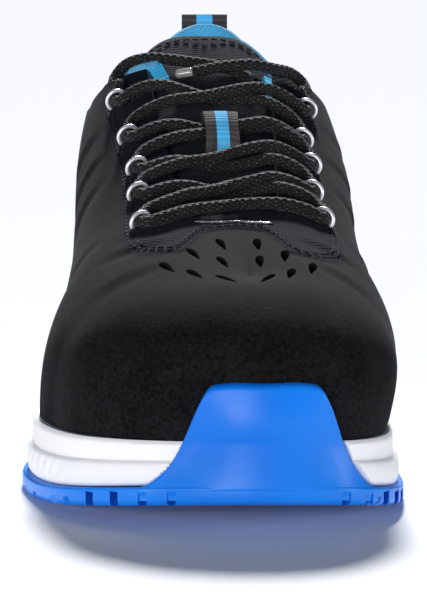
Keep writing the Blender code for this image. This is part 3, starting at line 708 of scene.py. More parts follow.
def weave(finish, u, v, pitch):
    """Height of a plain weave whose threads run along two values."""
    a, b = (u * (math.pi / pitch)).sine(), (v * (math.pi / pitch)).sine()
    return 0.5 + a * b * 0.5


def ribs(v, pitch):
    """Height of the ribs across a tape."""
    return (v * 1000 * math.pi / pitch).sine() * 0.5 + 0.5


def make_finishes(colours):
    """Every material of the shoe, by its slot's name."""
    made = {}

    nap = Finish("napped_microfibre", colours.microfibre, 0.92)
    cloud, fine, fibre = nap.noise(70, 4), nap.noise(900, 2), nap.noise(2600, 2)
    stay = nap.attribute("eyestay")
    across, along = nap.attribute("across"), nap.attribute("along")
    threads = weave(nap, across * 1000 + fine * 0.5, along * 1000, 0.85)
    tone = (cloud * 0.7 + fine * 0.9 + fibre * 0.8 - 0.95).clamp()
    base = nap.blend(tone, dimmed(colours.microfibre, 0.4), dimmed(colours.microfibre, 6.0))
    cloth = nap.blend(threads * 0.6 + fine * 0.5 - 0.1, dimmed(colours.textile, 0.5),
                      dimmed(colours.textile, 2.6))
    nap.colour(nap.blend(stay, base, cloth)).gloss(0.84 + fibre * 0.14)
    nap.set("Sheen Weight", 0.03).set("Sheen Roughness", 0.4)
    nap.set("Sheen Tint", (0.80, 0.80, 0.82, 1)).set("Specular IOR Level", 0.06)
    nap.relief((cloud, 0.25, 0.5 * MM), (fine, 0.42, 0.20 * MM), (fibre, 0.45, 0.12 * MM),
               (threads * stay, 0.8, 0.25 * MM))
    made["upper"] = nap.material

    cloth = Finish("black_textile", colours.textile, 0.9)
    u, v = cloth.uv()
    speck = cloth.noise(1100, 2)
    threads = weave(cloth, u * 1000 + speck * 0.4, v * 1000, 0.6)
    cloth.colour(cloth.blend((threads * 0.7 + speck * 0.6 - 0.25).clamp(),
                             dimmed(colours.textile, 0.4), dimmed(colours.textile, 3.2)))
    cloth.gloss(0.8 + speck * 0.15).set("Sheen Weight", 0.04).set("Specular IOR Level", 0.15)
    cloth.relief((threads, 0.9, 0.28 * MM), (speck, 0.3, 0.12 * MM))
    made["textile"] = cloth.material

    binding = Finish("black_binding", dimmed(colours.microfibre, 1.1), 0.8)
    grain = binding.noise(1500, 2)
    binding.gloss(0.68 + grain * 0.2).set("Sheen Weight", 0.05)
    binding.set("Specular IOR Level", 0.2).relief((grain, 0.35, 0.12 * MM))
    made["binding"] = binding.material

    rubber = Finish("blue_rubber", colours.rubber, 0.42)
    wide, pore = rubber.noise(26, 3), rubber.noise(1400, 2)
    x, _, z = rubber.axes()
    # Painted highlights: the rubber is painted paler towards the bottom, where the floor's light
    # reflects, and on the flanks away from the toe's middle
    low = 1 - z.step(7 * MM, 24 * MM)
    painted_flank_highlight = (x - BUMPER_SHIFT).size().step(11 * MM, 24 * MM)
    # Random tone from the two noises plus the painted highlights, mixed towards a paler blue
    tone_and_painted_highlight = (wide * 0.5 + pore * 0.2 - 0.2 + low * 0.55 + painted_flank_highlight * 0.35).clamp()
    rubber.colour(rubber.blend(tone_and_painted_highlight, colours.rubber[:], (0.010, 0.235, 0.88)))
    rubber.gloss(0.26 + wide * 0.10 + pore * 0.06).set("Specular IOR Level", 0.24)
    rubber.relief((wide, 0.06, 0.6 * MM), (pore, 0.10, 0.06 * MM))
    made["rubber"] = rubber.material

    foam = Finish("white_foam", colours.foam, 0.6)
    skin_cell, blotches = foam.cells(900), foam.noise(55, 4)
    z = foam.axes()[2]
    # Darker towards the bottom: in the foam's lowest 6 to 13 mm it blends in patches towards a greyer
    # white
    low = (1 - z.step(6 * MM, 13 * MM)) * blotches.step(0.45, 0.75) * 0.35
    foam.colour(foam.blend(low.clamp(), colours.foam[:], (0.74, 0.72, 0.69)))
    foam.gloss(0.55 + blotches * 0.12).relief((skin_cell, 0.18, 0.10 * MM), (blotches, 0.06, 0.4 * MM))
    foam.set("Subsurface Weight", 0.05).set("Subsurface Radius", (2 * MM, 2 * MM, 2 * MM))
    made["foam"] = foam.material

    lining = Finish("blue_lining", colours.lining, 0.85)
    u, v = lining.uv()
    speck, wide = lining.noise(1200, 2), lining.noise(120, 3)
    threads = weave(lining, u * 1000 + speck * 0.5, v * 1000, 0.8)
    lining.colour(lining.blend((threads * 0.6 + wide * 0.7 - 0.3).clamp(),
                               dimmed(colours.lining, 0.72), (0.12, 0.64, 1.0)))
    lining.set("Sheen Weight", 0.3).gloss(0.8 + speck * 0.15)
    lining.relief((threads, 0.7, 0.30 * MM), (wide, 0.2, 0.6 * MM))
    made["lining"] = lining.material

    lace = Finish("braided_lace", colours.lace, 0.78)
    u, v = lace.uv()
    turn, lay = u * (BRAID_STRANDS / 2), v * BRAID_LAY
    braid = ((turn + lay).sine() * (turn - lay).sine()).size()
    fleck = lace.noise(1500, 2)
    lace.colour(lace.blend((braid.step(0.35, 1.0) * fleck.step(0.42, 0.66) * 1.1).clamp(),
                           dimmed(colours.lace, 0.35), (0.075, 0.074, 0.078)))
    lace.gloss(0.62 + fleck * 0.2).set("Sheen Weight", 0.04).set("Specular IOR Level", 0.3)
    lace.relief((braid, 0.8, 0.30 * MM), (fleck, 0.3, 0.12 * MM))
    made["lace"] = lace.material

    tip = Finish("clear_tip", (0.30, 0.28, 0.27), 0.22)
    wrap = tip.noise(500, 2, stretch=(1, 4, 1))
    tip.gloss(0.16 + wrap * 0.15).set("Coat Weight", 0.6).relief((wrap, 0.2, 0.1 * MM))
    made["tip"] = tip.material

    wire = Finish("bright_wire", (0.78, 0.78, 0.79), 0.35, 0.6)
    scratch = wire.noise(900, 2, stretch=(1, 1, 6))
    wire.gloss(0.30 + scratch * 0.16).relief((scratch, 0.08, 0.05 * MM))
    made["wire"] = wire.material

    band = Finish("striped_webbing", colours.webbing, 0.85)
    u, v = band.uv()
    stripe = 1 - (u - 0.5).size().step(0.165, 0.185)
    rib = ribs(v, 0.9)
    speck = band.noise(1300, 2)
    shade = (rib * 0.5 + speck * 0.5).clamp()
    grey = band.blend(shade, dimmed(colours.webbing, 0.5), dimmed(colours.webbing, 1.7))
    blue = band.blend(shade, dimmed(colours.lining, 0.8), (0.15, 0.62, 1.0))
    band.colour(band.blend(stripe, grey, blue)).gloss(0.8 + speck * 0.12)
    band.set("Sheen Weight", 0.05).set("Specular IOR Level", 0.2)
    band.relief((rib, 0.7, 0.25 * MM), (speck, 0.2, 0.1 * MM))
    made["webbing"] = band.material

    tape = Finish("dark_tape", dimmed(colours.webbing, 0.35), 0.85)
    v = tape.uv()[1]
    rib = ribs(v, 0.9)
    tape.colour(tape.blend(rib, dimmed(colours.webbing, 0.2), dimmed(colours.webbing, 0.6)))
    tape.gloss(0.75 + rib * 0.15).set("Specular IOR Level", 0.2).relief((rib, 0.7, 0.2 * MM))
    made["tape"] = tape.material

    bright = Finish("blue_tape", (0.05, 0.60, 1.0), 0.8)
    v = bright.uv()[1]
    rib = ribs(v, 0.8)
    bright.colour(bright.blend(rib, (0.03, 0.46, 0.95), (0.10, 0.72, 1.0)))
    bright.gloss(0.7 + rib * 0.15).relief((rib, 0.5, 0.2 * MM))
    made["blue_tape"] = bright.material

    thread = Finish("sewing_thread", (0.0085, 0.0085, 0.010), 0.8)
    twist = thread.noise(2200, 1)
    thread.gloss(0.7 + twist * 0.2).set("Specular IOR Level", 0.15).relief((twist, 0.4, 0.08 * MM))
    made["thread"] = thread.material

    shade = Finish("hole_backing", (0.002, 0.002, 0.003), 0.95)
    mesh = shade.noise(1500, 1)
    shade.gloss(0.9 + mesh * 0.08).relief((mesh, 0.4, 0.2 * MM))
    made["backing"] = shade.material

    pale = Finish("pale_floor", (0.93, 0.93, 0.935), 0.35)
    haze = pale.noise(3, 2)
    pale.gloss(0.85 + haze * 0.1).set("Specular IOR Level", 0.0)
    made["floor"] = pale.material
    return made


FINISH = {}


def finish(name):
    """A material by its plain name, made when it is first asked for."""
    if not FINISH:
        FINISH.update(make_finishes(bpy.context.scene.shoe_colours))
    return FINISH[name]


# Making pieces


def add_piece(name, mesh, looks, replaced=()):
    """A finished piece on the shoe's one body."""
    obj = bpy.data.objects.new(name, mesh)
    for look in looks:
        mesh.materials.append(finish(look))
    bpy.context.scene.collection.objects.link(obj)
    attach(obj, "root")
    if replaced:
        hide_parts(*replaced)
    return obj


def grid_mesh(name, points, maps, wrap=False, attributes=None):
    """A mesh through a grid of points, with its map and any values of its own."""
    rows, cols = points.shape[:2]
    mesh = bpy.data.meshes.new(name)
    index = np.arange(rows * cols).reshape(rows, cols)
    first = index if not wrap else np.concatenate([index, index[:1]])
    a, b = first[:-1, :-1], first[1:, :-1]
    c, d = first[1:, 1:], first[:-1, 1:]
    quads = np.stack([a, b, c, d], -1).reshape(-1, 4)
    mesh.from_pydata(points.reshape(-1, 3).tolist(), [], quads.tolist())
    add_map(mesh, maps.reshape(-1, 2))
    for key, values in (attributes or {}).items():
        made = mesh.attributes.new(key, "FLOAT", "POINT")
        made.data.foreach_set("value", np.ascontiguousarray(values, float).ravel())
    return mesh


def add_map(mesh, places):
    """Gives a mesh its map, from a place for each vertex."""
    layer = mesh.uv_layers.new(name="map")
    corners = np.zeros(len(mesh.loops), int)
    mesh.loops.foreach_get("vertex_index", corners)
    layer.data.foreach_set("uv", places[corners].ravel())


def metres_map(points):
    """A map in metres: distance along the columns and along the rows of a grid."""
    u = np.zeros(points.shape[:2])
    v = np.zeros(points.shape[:2])
    u[1:] = np.cumsum(np.linalg.norm(np.diff(points, axis=0), axis=2), 0)
    v[:, 1:] = np.cumsum(np.linalg.norm(np.diff(points, axis=1), axis=2), 1)
    return np.stack([u, v], -1)


def settle(mesh, distance=0.01 * MM, angle=40):
    """Merges doubles, turns the faces outwards and shades the mesh smooth."""
    bm = bmesh.new()
    bm.from_mesh(mesh)
    bmesh.ops.remove_doubles(bm, verts=bm.verts, dist=distance)
    bmesh.ops.dissolve_degenerate(bm, edges=bm.edges, dist=distance / 2)
    bmesh.ops.recalc_face_normals(bm, faces=bm.faces)
    bm.to_mesh(mesh)
    bm.free()
    mesh.shade_smooth()
    mesh.set_sharp_from_angle(angle=math.radians(angle))
    return mesh


def close_mesh(mesh, distance, angle=None):
    """Joins a strip's edges, fills its open ends, turns its faces out and shades it."""
    bm = bmesh.new()
    bm.from_mesh(mesh)
    bmesh.ops.remove_doubles(bm, verts=bm.verts, dist=distance)
    bmesh.ops.holes_fill(bm, edges=[e for e in bm.edges if e.is_boundary], sides=0)
    bmesh.ops.recalc_face_normals(bm, faces=bm.faces)
    bm.to_mesh(mesh)
    bm.free()
    mesh.shade_smooth()
    if angle is not None:
        mesh.set_sharp_from_angle(angle=math.radians(angle))
    return mesh


def slab_mesh(name, top, under, maps):
    """A closed plate between two equal grids, such as a pad or a strap."""
    points = np.concatenate([top, under[:, ::-1], top[:, :1]], 1)
    places = np.concatenate([maps, maps[:, ::-1], maps[:, :1]], 1)
    return close_mesh(grid_mesh(name, points, places), 0.005 * MM, 50)


def applied(obj, name=None):
    """The object's evaluated mesh made its own, with the modifiers gone."""
    bpy.context.view_layer.update()
    shape = obj.evaluated_get(bpy.context.evaluated_depsgraph_get())
    mesh = bpy.data.meshes.new_from_object(shape)
    obj.modifiers.clear()
    old, obj.data = obj.data, mesh
    bpy.data.meshes.remove(old)
    mesh.name = name or obj.name
    return obj


def smooth_route(points, spacing):
    """Points a given distance apart along a smooth curve through the given points."""
    points = np.array(points, float)
    ends = np.concatenate([[2 * points[0] - points[1]], points, [2 * points[-1] - points[-2]]])
    fine = []
    for i in range(1, len(ends) - 2):
        t = np.linspace(0, 1, 16, endpoint=False)[:, None]
        fine.append(catmull([ends[i + k] for k in (-1, 0, 1, 2)], t))
    fine = np.concatenate(fine + [points[-1:]])
    walked = distances(fine)
    count = max(3, int(round(walked[-1] / spacing)) + 1)
    want = np.linspace(0, walked[-1], count)
    return np.stack([np.interp(want, walked, fine[:, k]) for k in range(3)], 1)


def frames_along(line):
    """Two directions square to a line at each point, carried along it without twisting."""
    tangents = unit(np.gradient(line, axis=0))
    side = unit(np.cross(tangents[0], [0.13, 0.2, 0.97]))
    sides = [side]
    for t in tangents[1:]:
        side = unit(side - t * np.dot(side, t))
        sides.append(side)
    sides = np.array(sides)
    return sides, np.cross(tangents, sides)


def rope_mesh(name, line, radius, around, depth=0.09):
    """A round braided rope: its radius carries the crossing strands, and it has closed ends."""
    sides, ups = frames_along(line)
    walked = distances(line)
    turn = np.linspace(0, 2 * math.pi, around, endpoint=False)
    u, v = np.meshgrid(turn, walked)
    turned, laid = u * BRAID_STRANDS / 2, v * BRAID_LAY
    weave_height = np.abs(np.sin(turned + laid) * np.sin(turned - laid))
    r = radius * (1 - depth + 1.4 * depth * weave_height)
    end = np.minimum(v, walked[-1] - v)
    r = r * np.sqrt(np.clip(1 - (1 - np.clip(end / (0.6 * radius), 0, 1)) ** 2, 0.02, 1))
    ring = (sides[:, None] * (np.cos(u) * r)[..., None] + ups[:, None] * (np.sin(u) * r)[..., None]
            + line[:, None])
    ring = np.concatenate([ring, ring[:, :1]], 1)
    maps = np.stack([np.append(turn, 2 * math.pi)[None].repeat(len(line), 0),
                     walked[:, None].repeat(around + 1, 1)], -1)
    return close_mesh(grid_mesh(name, ring, maps), 0.001 * MM)


def cut_with(obj, mesh, look, overlapping=False):
    """Cuts a closed mesh out of a piece; the cut's faces take the given look."""
    mesh.materials.append(finish(look))
    cutter = bpy.data.objects.new(mesh.name, mesh)
    bpy.context.scene.collection.objects.link(cutter)
    step = obj.modifiers.new("cut", "BOOLEAN")
    step.operation, step.solver, step.object = "DIFFERENCE", "EXACT", cutter
    step.use_self = overlapping
    applied(obj)
    bpy.data.objects.remove(cutter)


# The upper


def skin_columns(per_row):
    """Places round the outline, the same on both sides."""
    count = (len(OUTLINE) - 1) * per_row
    return np.arange(2 * count) / per_row


def open_edge(along, lateral_arc, points):
    """Positive inside the upper's wall, negative in the throat or over the collar's edge."""
    low, high = THROAT_WIDTH_LOW / 2, THROAT_WIDTH_HIGH / 2
    run = along - THROAT_FRONT
    bend = np.sqrt(np.clip(low ** 2 - (low - np.clip(run, 0, low)) ** 2, 0, None))
    straight = low + (high - low) * np.clip(
        (run - low) / (TOPLINE_FRONT - THROAT_FRONT - low), 0, 1)
    half = np.where(run <= 0, -1.0, np.where(run < low, bend, straight))
    half = np.where(along > TOPLINE_FRONT + 40 * MM, -1.0, half)
    y, z = points[..., 1], points[..., 2]
    start = TOPLINE_FRONT - 6 * MM
    ramp = COLLAR_FRONT + np.clip((TOPLINE_FRONT - y) / (6 * MM), 0, 1) * 5 * MM
    edge = np.where(y < TOPLINE_FRONT, ramp, topline(np.minimum(y, TOPLINE_HEEL)))
    over_top = np.where(y > start, edge - z, 1.0)
    return np.minimum(lateral_arc - half, over_top)


def eyestay_mask(along, arc, side):
    """1 on the textile eyestays round the throat, 0 on the napped upper."""
    reach = np.where(side < 0, loop_line(along, -1), loop_line(along, 1)) + EYESTAY_MARGIN
    nose = np.clip((EYESTAY_FRONT + EYESTAY_NOSE - along) / EYESTAY_NOSE, 0, 1)
    reach = reach * np.sqrt(np.clip(1 - nose ** 2.4, 0, 1))
    return smoothstep(-0.5 * MM, 0.5 * MM, reach - arc) * smoothstep(
        -0.5 * MM, 0.5 * MM, along - eyestay_front(arc))


def eyestay_front(arc):
    """The eyestay's front edge, hollowed towards the throat in the middle."""
    return EYESTAY_FRONT + EYESTAY_HOLLOW * (1 - smoothstep(9 * MM, 25 * MM, arc))


def upper_relief(along, arc, side, points):
    """How far the outer face stands out: toe cap, eyestay step, creases and a raised band low round
    the heel.
    """
    y, z = points[..., 1], points[..., 2]
    cap_line = -0.335 * LENGTH - 9 * MM + 0.16 * (0.5 * INSTEP_HEIGHT - z)
    out = 0.75 * MM * (1 - smoothstep(-9 * MM, 8 * MM, y - cap_line))
    out = out - 0.12 * MM * np.exp(-((y - cap_line - 9 * MM) / (7 * MM)) ** 2)
    out = out + 0.45 * MM * eyestay_mask(along, arc, side)
    for place, near, far, slant, width, depth in CREASES:
        middle = (near + far) / 2 * MM
        reach = (far - near) / 2 * MM
        slide = (arc - middle) / reach
        centre = (place + slant * slide * 0.5) * MM + 1.5 * MM * side
        span = np.exp(-slide ** 4)
        trough = np.exp(-((along - centre) / (width / 2 * MM)) ** 2)
        ridge_beside = np.exp(-((along - centre - width * 0.9 * MM) / (width / 2 * MM)) ** 2)
        out = out - span * depth * MM * (trough - 0.55 * ridge_beside)
    heel = smoothstep(0.40 * LENGTH, 0.43 * LENGTH, y)
    return out + 0.5 * MM * heel * (1 - smoothstep(55 * MM, 62 * MM, z))


def upper_sheet(per_row=15, levels=72):
    """The upper's outer face as an open grid that ends at the collar and round the throat."""
    s = skin_columns(per_row)
    fine = np.linspace(1, 0, 260)
    points = face(s[:, None], fine[None])
    steps = np.linalg.norm(np.diff(points, axis=1), axis=2)
    from_foot = np.concatenate([np.zeros((len(s), 1)), np.cumsum(steps, 1)], 1)
    arc = from_foot[:, -1:] - from_foot
    along = ((RIDGE_TOE + RUN * (outline(s)[:, 1] / LENGTH + 0.5)) * LENGTH)[:, None]
    inside = open_edge(along, arc, points)
    w = np.zeros((len(s), levels))
    reach = np.zeros(len(s))
    for k in range(len(s)):
        cut = np.nonzero(inside[k] < 0)[0]
        if len(cut):
            j = max(cut[0], 1)
            share = inside[k, j - 1] / (inside[k, j - 1] - inside[k, j])
            top = from_foot[k, j - 1] + share * (from_foot[k, j] - from_foot[k, j - 1])
        else:
            top = from_foot[k, -1]
        reach[k] = from_foot[k, -1]
        w[k] = np.interp(np.linspace(0, top, levels), from_foot[k], fine)
    opened = w[:, -1] > 1e-9
    points = face(s[:, None], w)
    normals = face_normal(s[:, None], w)
    mirror = (len(s) - np.arange(len(s))) % len(s)
    shared = unit(normals + normals[mirror])
    normals[~opened, -1] = shared[~opened, -1]
    lengths = np.linalg.norm(np.diff(points, axis=1), axis=2)
    walked = np.concatenate([np.zeros((len(s), 1)), np.cumsum(lengths, 1)], 1)
    arc = reach[:, None] - walked
    side = np.where(s < TURNS / 2, -1.0, 1.0)[:, None]
    wide = np.broadcast_to(along, arc.shape)
    out = upper_relief(wide, arc, side, points)
    fade = smoothstep(0, 4 * MM, walked)
    points = points + normals * (out * fade)[..., None]
    data = {"across": arc * side, "along": wide, "eyestay": eyestay_mask(wide, arc, side)}
    return points, data


class SHOE_OT_upper(bpy.types.Operator):
    """The hollow upper, with its toe cap, eyestays, creases and teardrop holes."""
    bl_idname = "shoe.upper"
    bl_label = "Upper"

    def execute(self, context):
        points, data = upper_sheet()
        maps = metres_map(points)
        mesh = grid_mesh("upper_shell", points, maps, wrap=True, attributes=data)
        settle(mesh, 0.12 * MM, 60)
        obj = add_piece("upper_shell", mesh, ["upper", "lining", "binding"], ["upper"])
        turn_outwards(mesh)
        wall_step = obj.modifiers.new("wall", "SOLIDIFY")
        wall_step.thickness = UPPER_WALL
        wall_step.offset = -1
        wall_step.use_even_offset = False
        wall_step.material_offset = 1
        wall_step.material_offset_rim = 2
        applied(obj)
        obj.data.shade_smooth()
        for poly in obj.data.polygons:
            if poly.material_index == 2 and poly.center.y > COLLAR_EDGE_FROM:
                poly.material_index = 1
        cut_holes(obj, context.scene.shoe_sizes)
        return {"FINISHED"}


def turn_outwards(mesh):
    """Flips an open shell whose faces point at its own middle."""
    centre = np.array([0, 0, 0.045])
    score = sum((Vector(p.center) - Vector(centre)).dot(p.normal) * p.area for p in mesh.polygons)
    if score < 0:
        mesh.flip_normals()


def hole_outline(width, length):
    """A teardrop in the plane: broad towards the heel, pointed towards the toe."""
    turn = np.linspace(0, 2 * math.pi, 14, endpoint=False)
    x = width / 2 * np.sin(turn) * (0.62 + 0.38 * np.cos(turn))
    y = length / 2 * np.cos(turn)
    return np.stack([x, y], 1)


def hole_frames():
    """Middle, across, along and outward directions of each hole in the vamp."""
    for along, across, lean in HOLES:
        y, x = along * MM, across * MM
        middle = over(y, x, 0.0)
        slide = math.tan(math.radians(lean))
        ahead = unit(over(y + 1.5 * MM, x - slide * 1.5 * MM, 0.0) - middle)
        beside = unit(over(y, x + MM, 0.0) - middle)
        up = unit(np.cross(beside, ahead))
        beside = unit(np.cross(ahead, up))
        yield middle, beside, ahead, up


def cut_holes(obj, sizes):
    """Cuts the teardrop holes through the vamp's wall."""
    shape = hole_outline(sizes.hole_width, sizes.hole_length)
    points, faces = [], []
    for middle, beside, ahead, up in hole_frames():
        start, n = len(points), len(shape)
        for lift in (-4 * MM, 4 * MM):
            points += [middle + beside * x + ahead * y + up * lift for x, y in shape]
        faces += [[start + i, start + (i + 1) % n, start + n + (i + 1) % n, start + n + i]
                  for i in range(n)]
        faces += [list(range(start, start + n)), list(range(start + n, start + 2 * n))]
    mesh = bpy.data.meshes.new("hole_cutter")
    mesh.from_pydata([tuple(p) for p in points], [], faces)
    settle(mesh)
    cut_with(obj, mesh, "binding")
    obj.data.set_sharp_from_angle(angle=math.radians(48))


class SHOE_OT_vamp_backing(bpy.types.Operator):
    """The dark textile that shows through the vamp's holes."""
    bl_idname = "shoe.vamp_backing"
    bl_label = "Vamp backing"

    def execute(self, context):
        ys = np.linspace(-104, -66, 22) * MM
        xs = np.linspace(-34, 34, 34) * MM
        top = over(ys[:, None], xs[None], -UPPER_WALL - 0.15 * MM)
        under = over(ys[:, None], xs[None], -UPPER_WALL - 0.9 * MM)
        mesh = slab_mesh("vamp_backing", top, under, metres_map(top))
        add_piece("vamp_backing", mesh, ["backing"], ())
        return {"FINISHED"}


# Sole


def ring_stack(name, s, rings):
    """A closed solid through rings round the sole, its two ends closed by strips."""
    count, levels = len(s), len(rings)
    half = count // 2
    points = np.concatenate(rings)
    faces = []
    for k in range(levels - 1):
        a, b = k * count, (k + 1) * count
        faces += [(a + i, a + (i + 1) % count, b + (i + 1) % count, b + i)
                  for i in range(count)]
    for first in (0, (levels - 1) * count):
        faces.append((first, first + 1, first + count - 1))
        faces += [(first + i, first + i + 1, first + count - i - 1, first + count - i)
                  for i in range(1, half - 1)]
        faces.append((first + half - 1, first + half, first + half + 1))
    mesh = bpy.data.meshes.new(name)
    mesh.from_pydata(points.tolist(), [], faces)
    return settle(mesh, 0.01 * MM, 35)


def ring_at(s, distance, height):
    """A ring round the sole at an inset; its height may be a function of y."""
    flat = inset(s, np.broadcast_to(distance, s.shape))
    z = height(flat[:, 1]) if callable(height) else height
    return np.concatenate([flat, np.broadcast_to(z, s.shape)[:, None]], 1)


def groove_boxes():
    """Cross grooves between the tread's lugs, and short slots round the rim of the toe."""
    count = int(LENGTH / GROOVE_PITCH)
    for k in range(1, count):
        y = -LENGTH / 2 + LENGTH * k / count
        if y < TOE_LAND * LENGTH or abs(y / LENGTH - WAIST_LAND) < WAIST_LAND_HALF:
            continue
        lean = math.radians(GROOVE_LEAN if k % 2 else -GROOVE_LEAN)
        slope = float(spring(y + MM) - spring(y - MM)) / (2 * MM)
        yield (0, y, float(spring(y))), lean, slope, (BALL_WIDTH * 1.3, GROOVE_WIDTH,
                                                     2 * GROOVE_DEPTH)
    for arc, s in zip(RIM_SLOTS, toe_place(np.array(RIM_SLOTS) * MM)):
        at = inset(s, RIM_SLOT_INSET)
        lean = math.radians(RIM_SLOT_LEANS[0 if arc < 0 else 1])
        yield ((at[0], at[1], float(spring(at[1])) + RIM_SLOT_RISE), lean, 0.0, RIM_SLOT_SIZE)


class SHOE_OT_outsole(bpy.types.Operator):
    """The blue tread plate with its rounded rim, cross grooves and rim slots."""
    bl_idname = "shoe.outsole"
    bl_label = "Outsole tread"

    def execute(self, context):
        s = skin_columns(16)
        rings = [ring_at(s, TREAD_ROUND, spring)]
        for k in range(1, 5):
            a = math.pi / 2 * k / 4
            rings.append(ring_at(s, TREAD_ROUND * (1 - math.sin(a)),
                                 lambda y, a=a: spring(y) + TREAD_ROUND * (1 - math.cos(a))))
        for k in range(5):
            a = math.pi / 2 * k / 4
            rings.append(ring_at(s, TREAD_CROWN * (1 - math.cos(a)),
                                 lambda y, a=a: spring(y) + SOLE_TREAD
                                 - TREAD_CROWN * (1 - math.sin(a))))
        mesh = ring_stack("outsole_tread", s, rings)
        obj = add_piece("outsole_tread", mesh, ["rubber"], ["outsole"])
        bm = bmesh.new()
        for centre, lean, slope, size in groove_boxes():
            made = bmesh.ops.create_cube(bm, size=1.0)["verts"]
            bmesh.ops.scale(bm, vec=size, verts=made)
            turn = Vector((0, 1, 0)).rotation_difference(Vector((0, 1, slope)).normalized())
            spin = Vector((1, 0, 0)).rotation_difference(
                Vector((math.cos(lean), math.sin(lean), 0)))
            bmesh.ops.rotate(bm, cent=(0, 0, 0), matrix=turn.to_matrix() @ spin.to_matrix(),
                             verts=made)
            bmesh.ops.translate(bm, vec=centre, verts=made)
        cutter_mesh = bpy.data.meshes.new("groove_cutter")
        bm.to_mesh(cutter_mesh)
        bm.free()
        cut_with(obj, cutter_mesh, "rubber", overlapping=True)
        obj.data.shade_smooth()
        obj.data.set_sharp_from_angle(angle=math.radians(35))
        return {"FINISHED"}


def bumper_edge(arc, low):
    """Height of the bumper's edge above a low line, at a distance from the toe's middle."""
    share = table(BUMPER_PROFILE, np.abs(arc) / (BUMPER_FOOT_WIDTH / 2), 1)
    return low + (BUMPER_TOP - low) * share


class SHOE_OT_bumper(bpy.types.Operator):
    """The toe bumper that rises from the outsole over the front of the toe."""
    bl_idname = "shoe.bumper"
    bl_label = "Toe bumper"

    def execute(self, context):
        foot = BUMPER_FOOT_WIDTH / 2
        arcs = np.linspace(-foot, foot, 121)
        s = toe_place(arcs - BUMPER_SHIFT)
        tread = spring(outline(s)[:, 1])
        top = bumper_edge(arcs, tread + SOLE_TREAD - 0.6 * MM)
        low = tread + 1.2 * MM
        t = np.linspace(0, 1, 71)
        t = t + 0.10 * np.sin(2 * math.pi * t) / (2 * math.pi)
        z = low[:, None] + (top - low)[:, None] * t
        to_top = top[:, None] - z
        lip = np.clip(to_top / BUMPER_LIP, 0, 1)
        rim = np.sqrt(lip * (2 - lip))
        swell = smoothstep(0, BUMPER_SWELL_RUN, to_top)
        bulge = np.exp(-(arcs / (BUMPER_BULGE_SHARE * foot)) ** 4)[:, None]
        full = BUMPER_WALL - BUMPER_FLAT + BUMPER_BULGE * bulge
        thick = (BUMPER_EDGE + full * swell) * rim
        rise = np.clip((z - tread[:, None] - SOLE_TREAD + BUMPER_LIP) / BUMPER_FLARE_RUN, 0, 1)
        thick = thick + (BUMPER_FLARE - thick) * (1 - rise) ** BUMPER_FLARE_POWER
        thick = thick - 0.6 * MM * (1 - smoothstep(2.4 * MM, 4.2 * MM, z - tread[:, None]))
        thick = np.maximum(thick, 0.35 * MM)
        outer = wall(s[:, None], z, thick)
        inner = wall(s[:, None], z, BUMPER_BACK)
        mesh = slab_mesh("toe_bumper", outer, inner, metres_map(outer))
        add_piece("toe_bumper", mesh, ["rubber"], ["outsole"])
        return {"FINISHED"}


class SHOE_OT_midsole(bpy.types.Operator):
    """The white foam midsole with its side step and slanting flutes."""
    bl_idname = "shoe.midsole"
    bl_label = "Midsole"

    def execute(self, context):
        s = skin_columns(22)
        flat = outline(s)
        step = np.linalg.norm(flat - np.roll(flat, 1, 0), axis=1)
        round_ = np.cumsum(step)
        medial = (s > TURNS / 2)
        from_toe = np.minimum(round_, round_[-1] - round_) * np.where(medial, 1, -1)
        tread = spring(flat[:, 1]) + SOLE_TREAD
        low = tread + 0.05 * MM
        cover = bumper_edge(from_toe - BUMPER_SHIFT, tread) - 0.4 * MM
        flute_zone = smoothstep(-0.125, -0.105, flat[:, 1]) * (
            1 - smoothstep(0.020, 0.045, flat[:, 1])) * np.where(medial, 1.0, 0.55)
        levels = 26
        rings = []
        for k in range(levels):
            v = k / (levels - 1)
            base = FOAM_INSET - FOAM_BULGE * math.sin(math.pi * min(v / 0.55, 1)) ** 0.8
            ledge = FOAM_LEDGE * smoothstep(0.50, 0.58, v)
            lip = FOAM_LIP * smoothstep(0.93, 1.0, v)
            foot = FOAM_FOOT * (1 - smoothstep(0.0, 0.06, v))
            wave = 0.5 - 0.5 * np.cos(2 * math.pi * (round_ / FLUTE_PITCH + 1.5 * v))
            band = smoothstep(0.06, 0.2, v) * (1 - smoothstep(0.42, 0.52, v))
            flutes = FLUTE_DEPTH * flute_zone * wave ** 3 * band
            height = low + (sole_top(flat[:, 1]) - low) * v
            behind = smoothstep(-0.5 * MM, 1.0 * MM, cover - height)
            side = base + ledge + lip + foot + flutes
            side = side + (np.maximum(side, FEATHER_INSET + 0.1 * MM) - side) * behind
            rings.append(np.concatenate([inset(s, side), height[:, None]], 1))
        mesh = ring_stack("midsole_body", s, rings)
        add_piece("midsole_body", mesh, ["foam"], ["midsole"])
        return {"FINISHED"}


class SHOE_OT_insole(bpy.types.Operator):
    """The footbed, dished a little under the heel and the arch."""
    bl_idname = "shoe.insole"
    bl_label = "Insole"

    def execute(self, context):
        s = skin_columns(8)
        edge = FEATHER_INSET + UPPER_WALL + 0.6 * MM
        steps = ((0, FIT_GAP), (0, 3.2 * MM), (0.5 * MM, 3.8 * MM), (1.4 * MM, 4.0 * MM),
                 (9 * MM, 3.1 * MM))
        rings = [ring_at(s, edge + further, lambda y, up=up: sole_top(y) + up)
                 for further, up in steps]
        mesh = ring_stack("footbed", s, rings)
        add_map(mesh, np.array([(v.co.x, v.co.y) for v in mesh.vertices]))
        add_piece("footbed", mesh, ["lining"], ["insole"])
        return {"FINISHED"}


# Tongue, collar, webbing


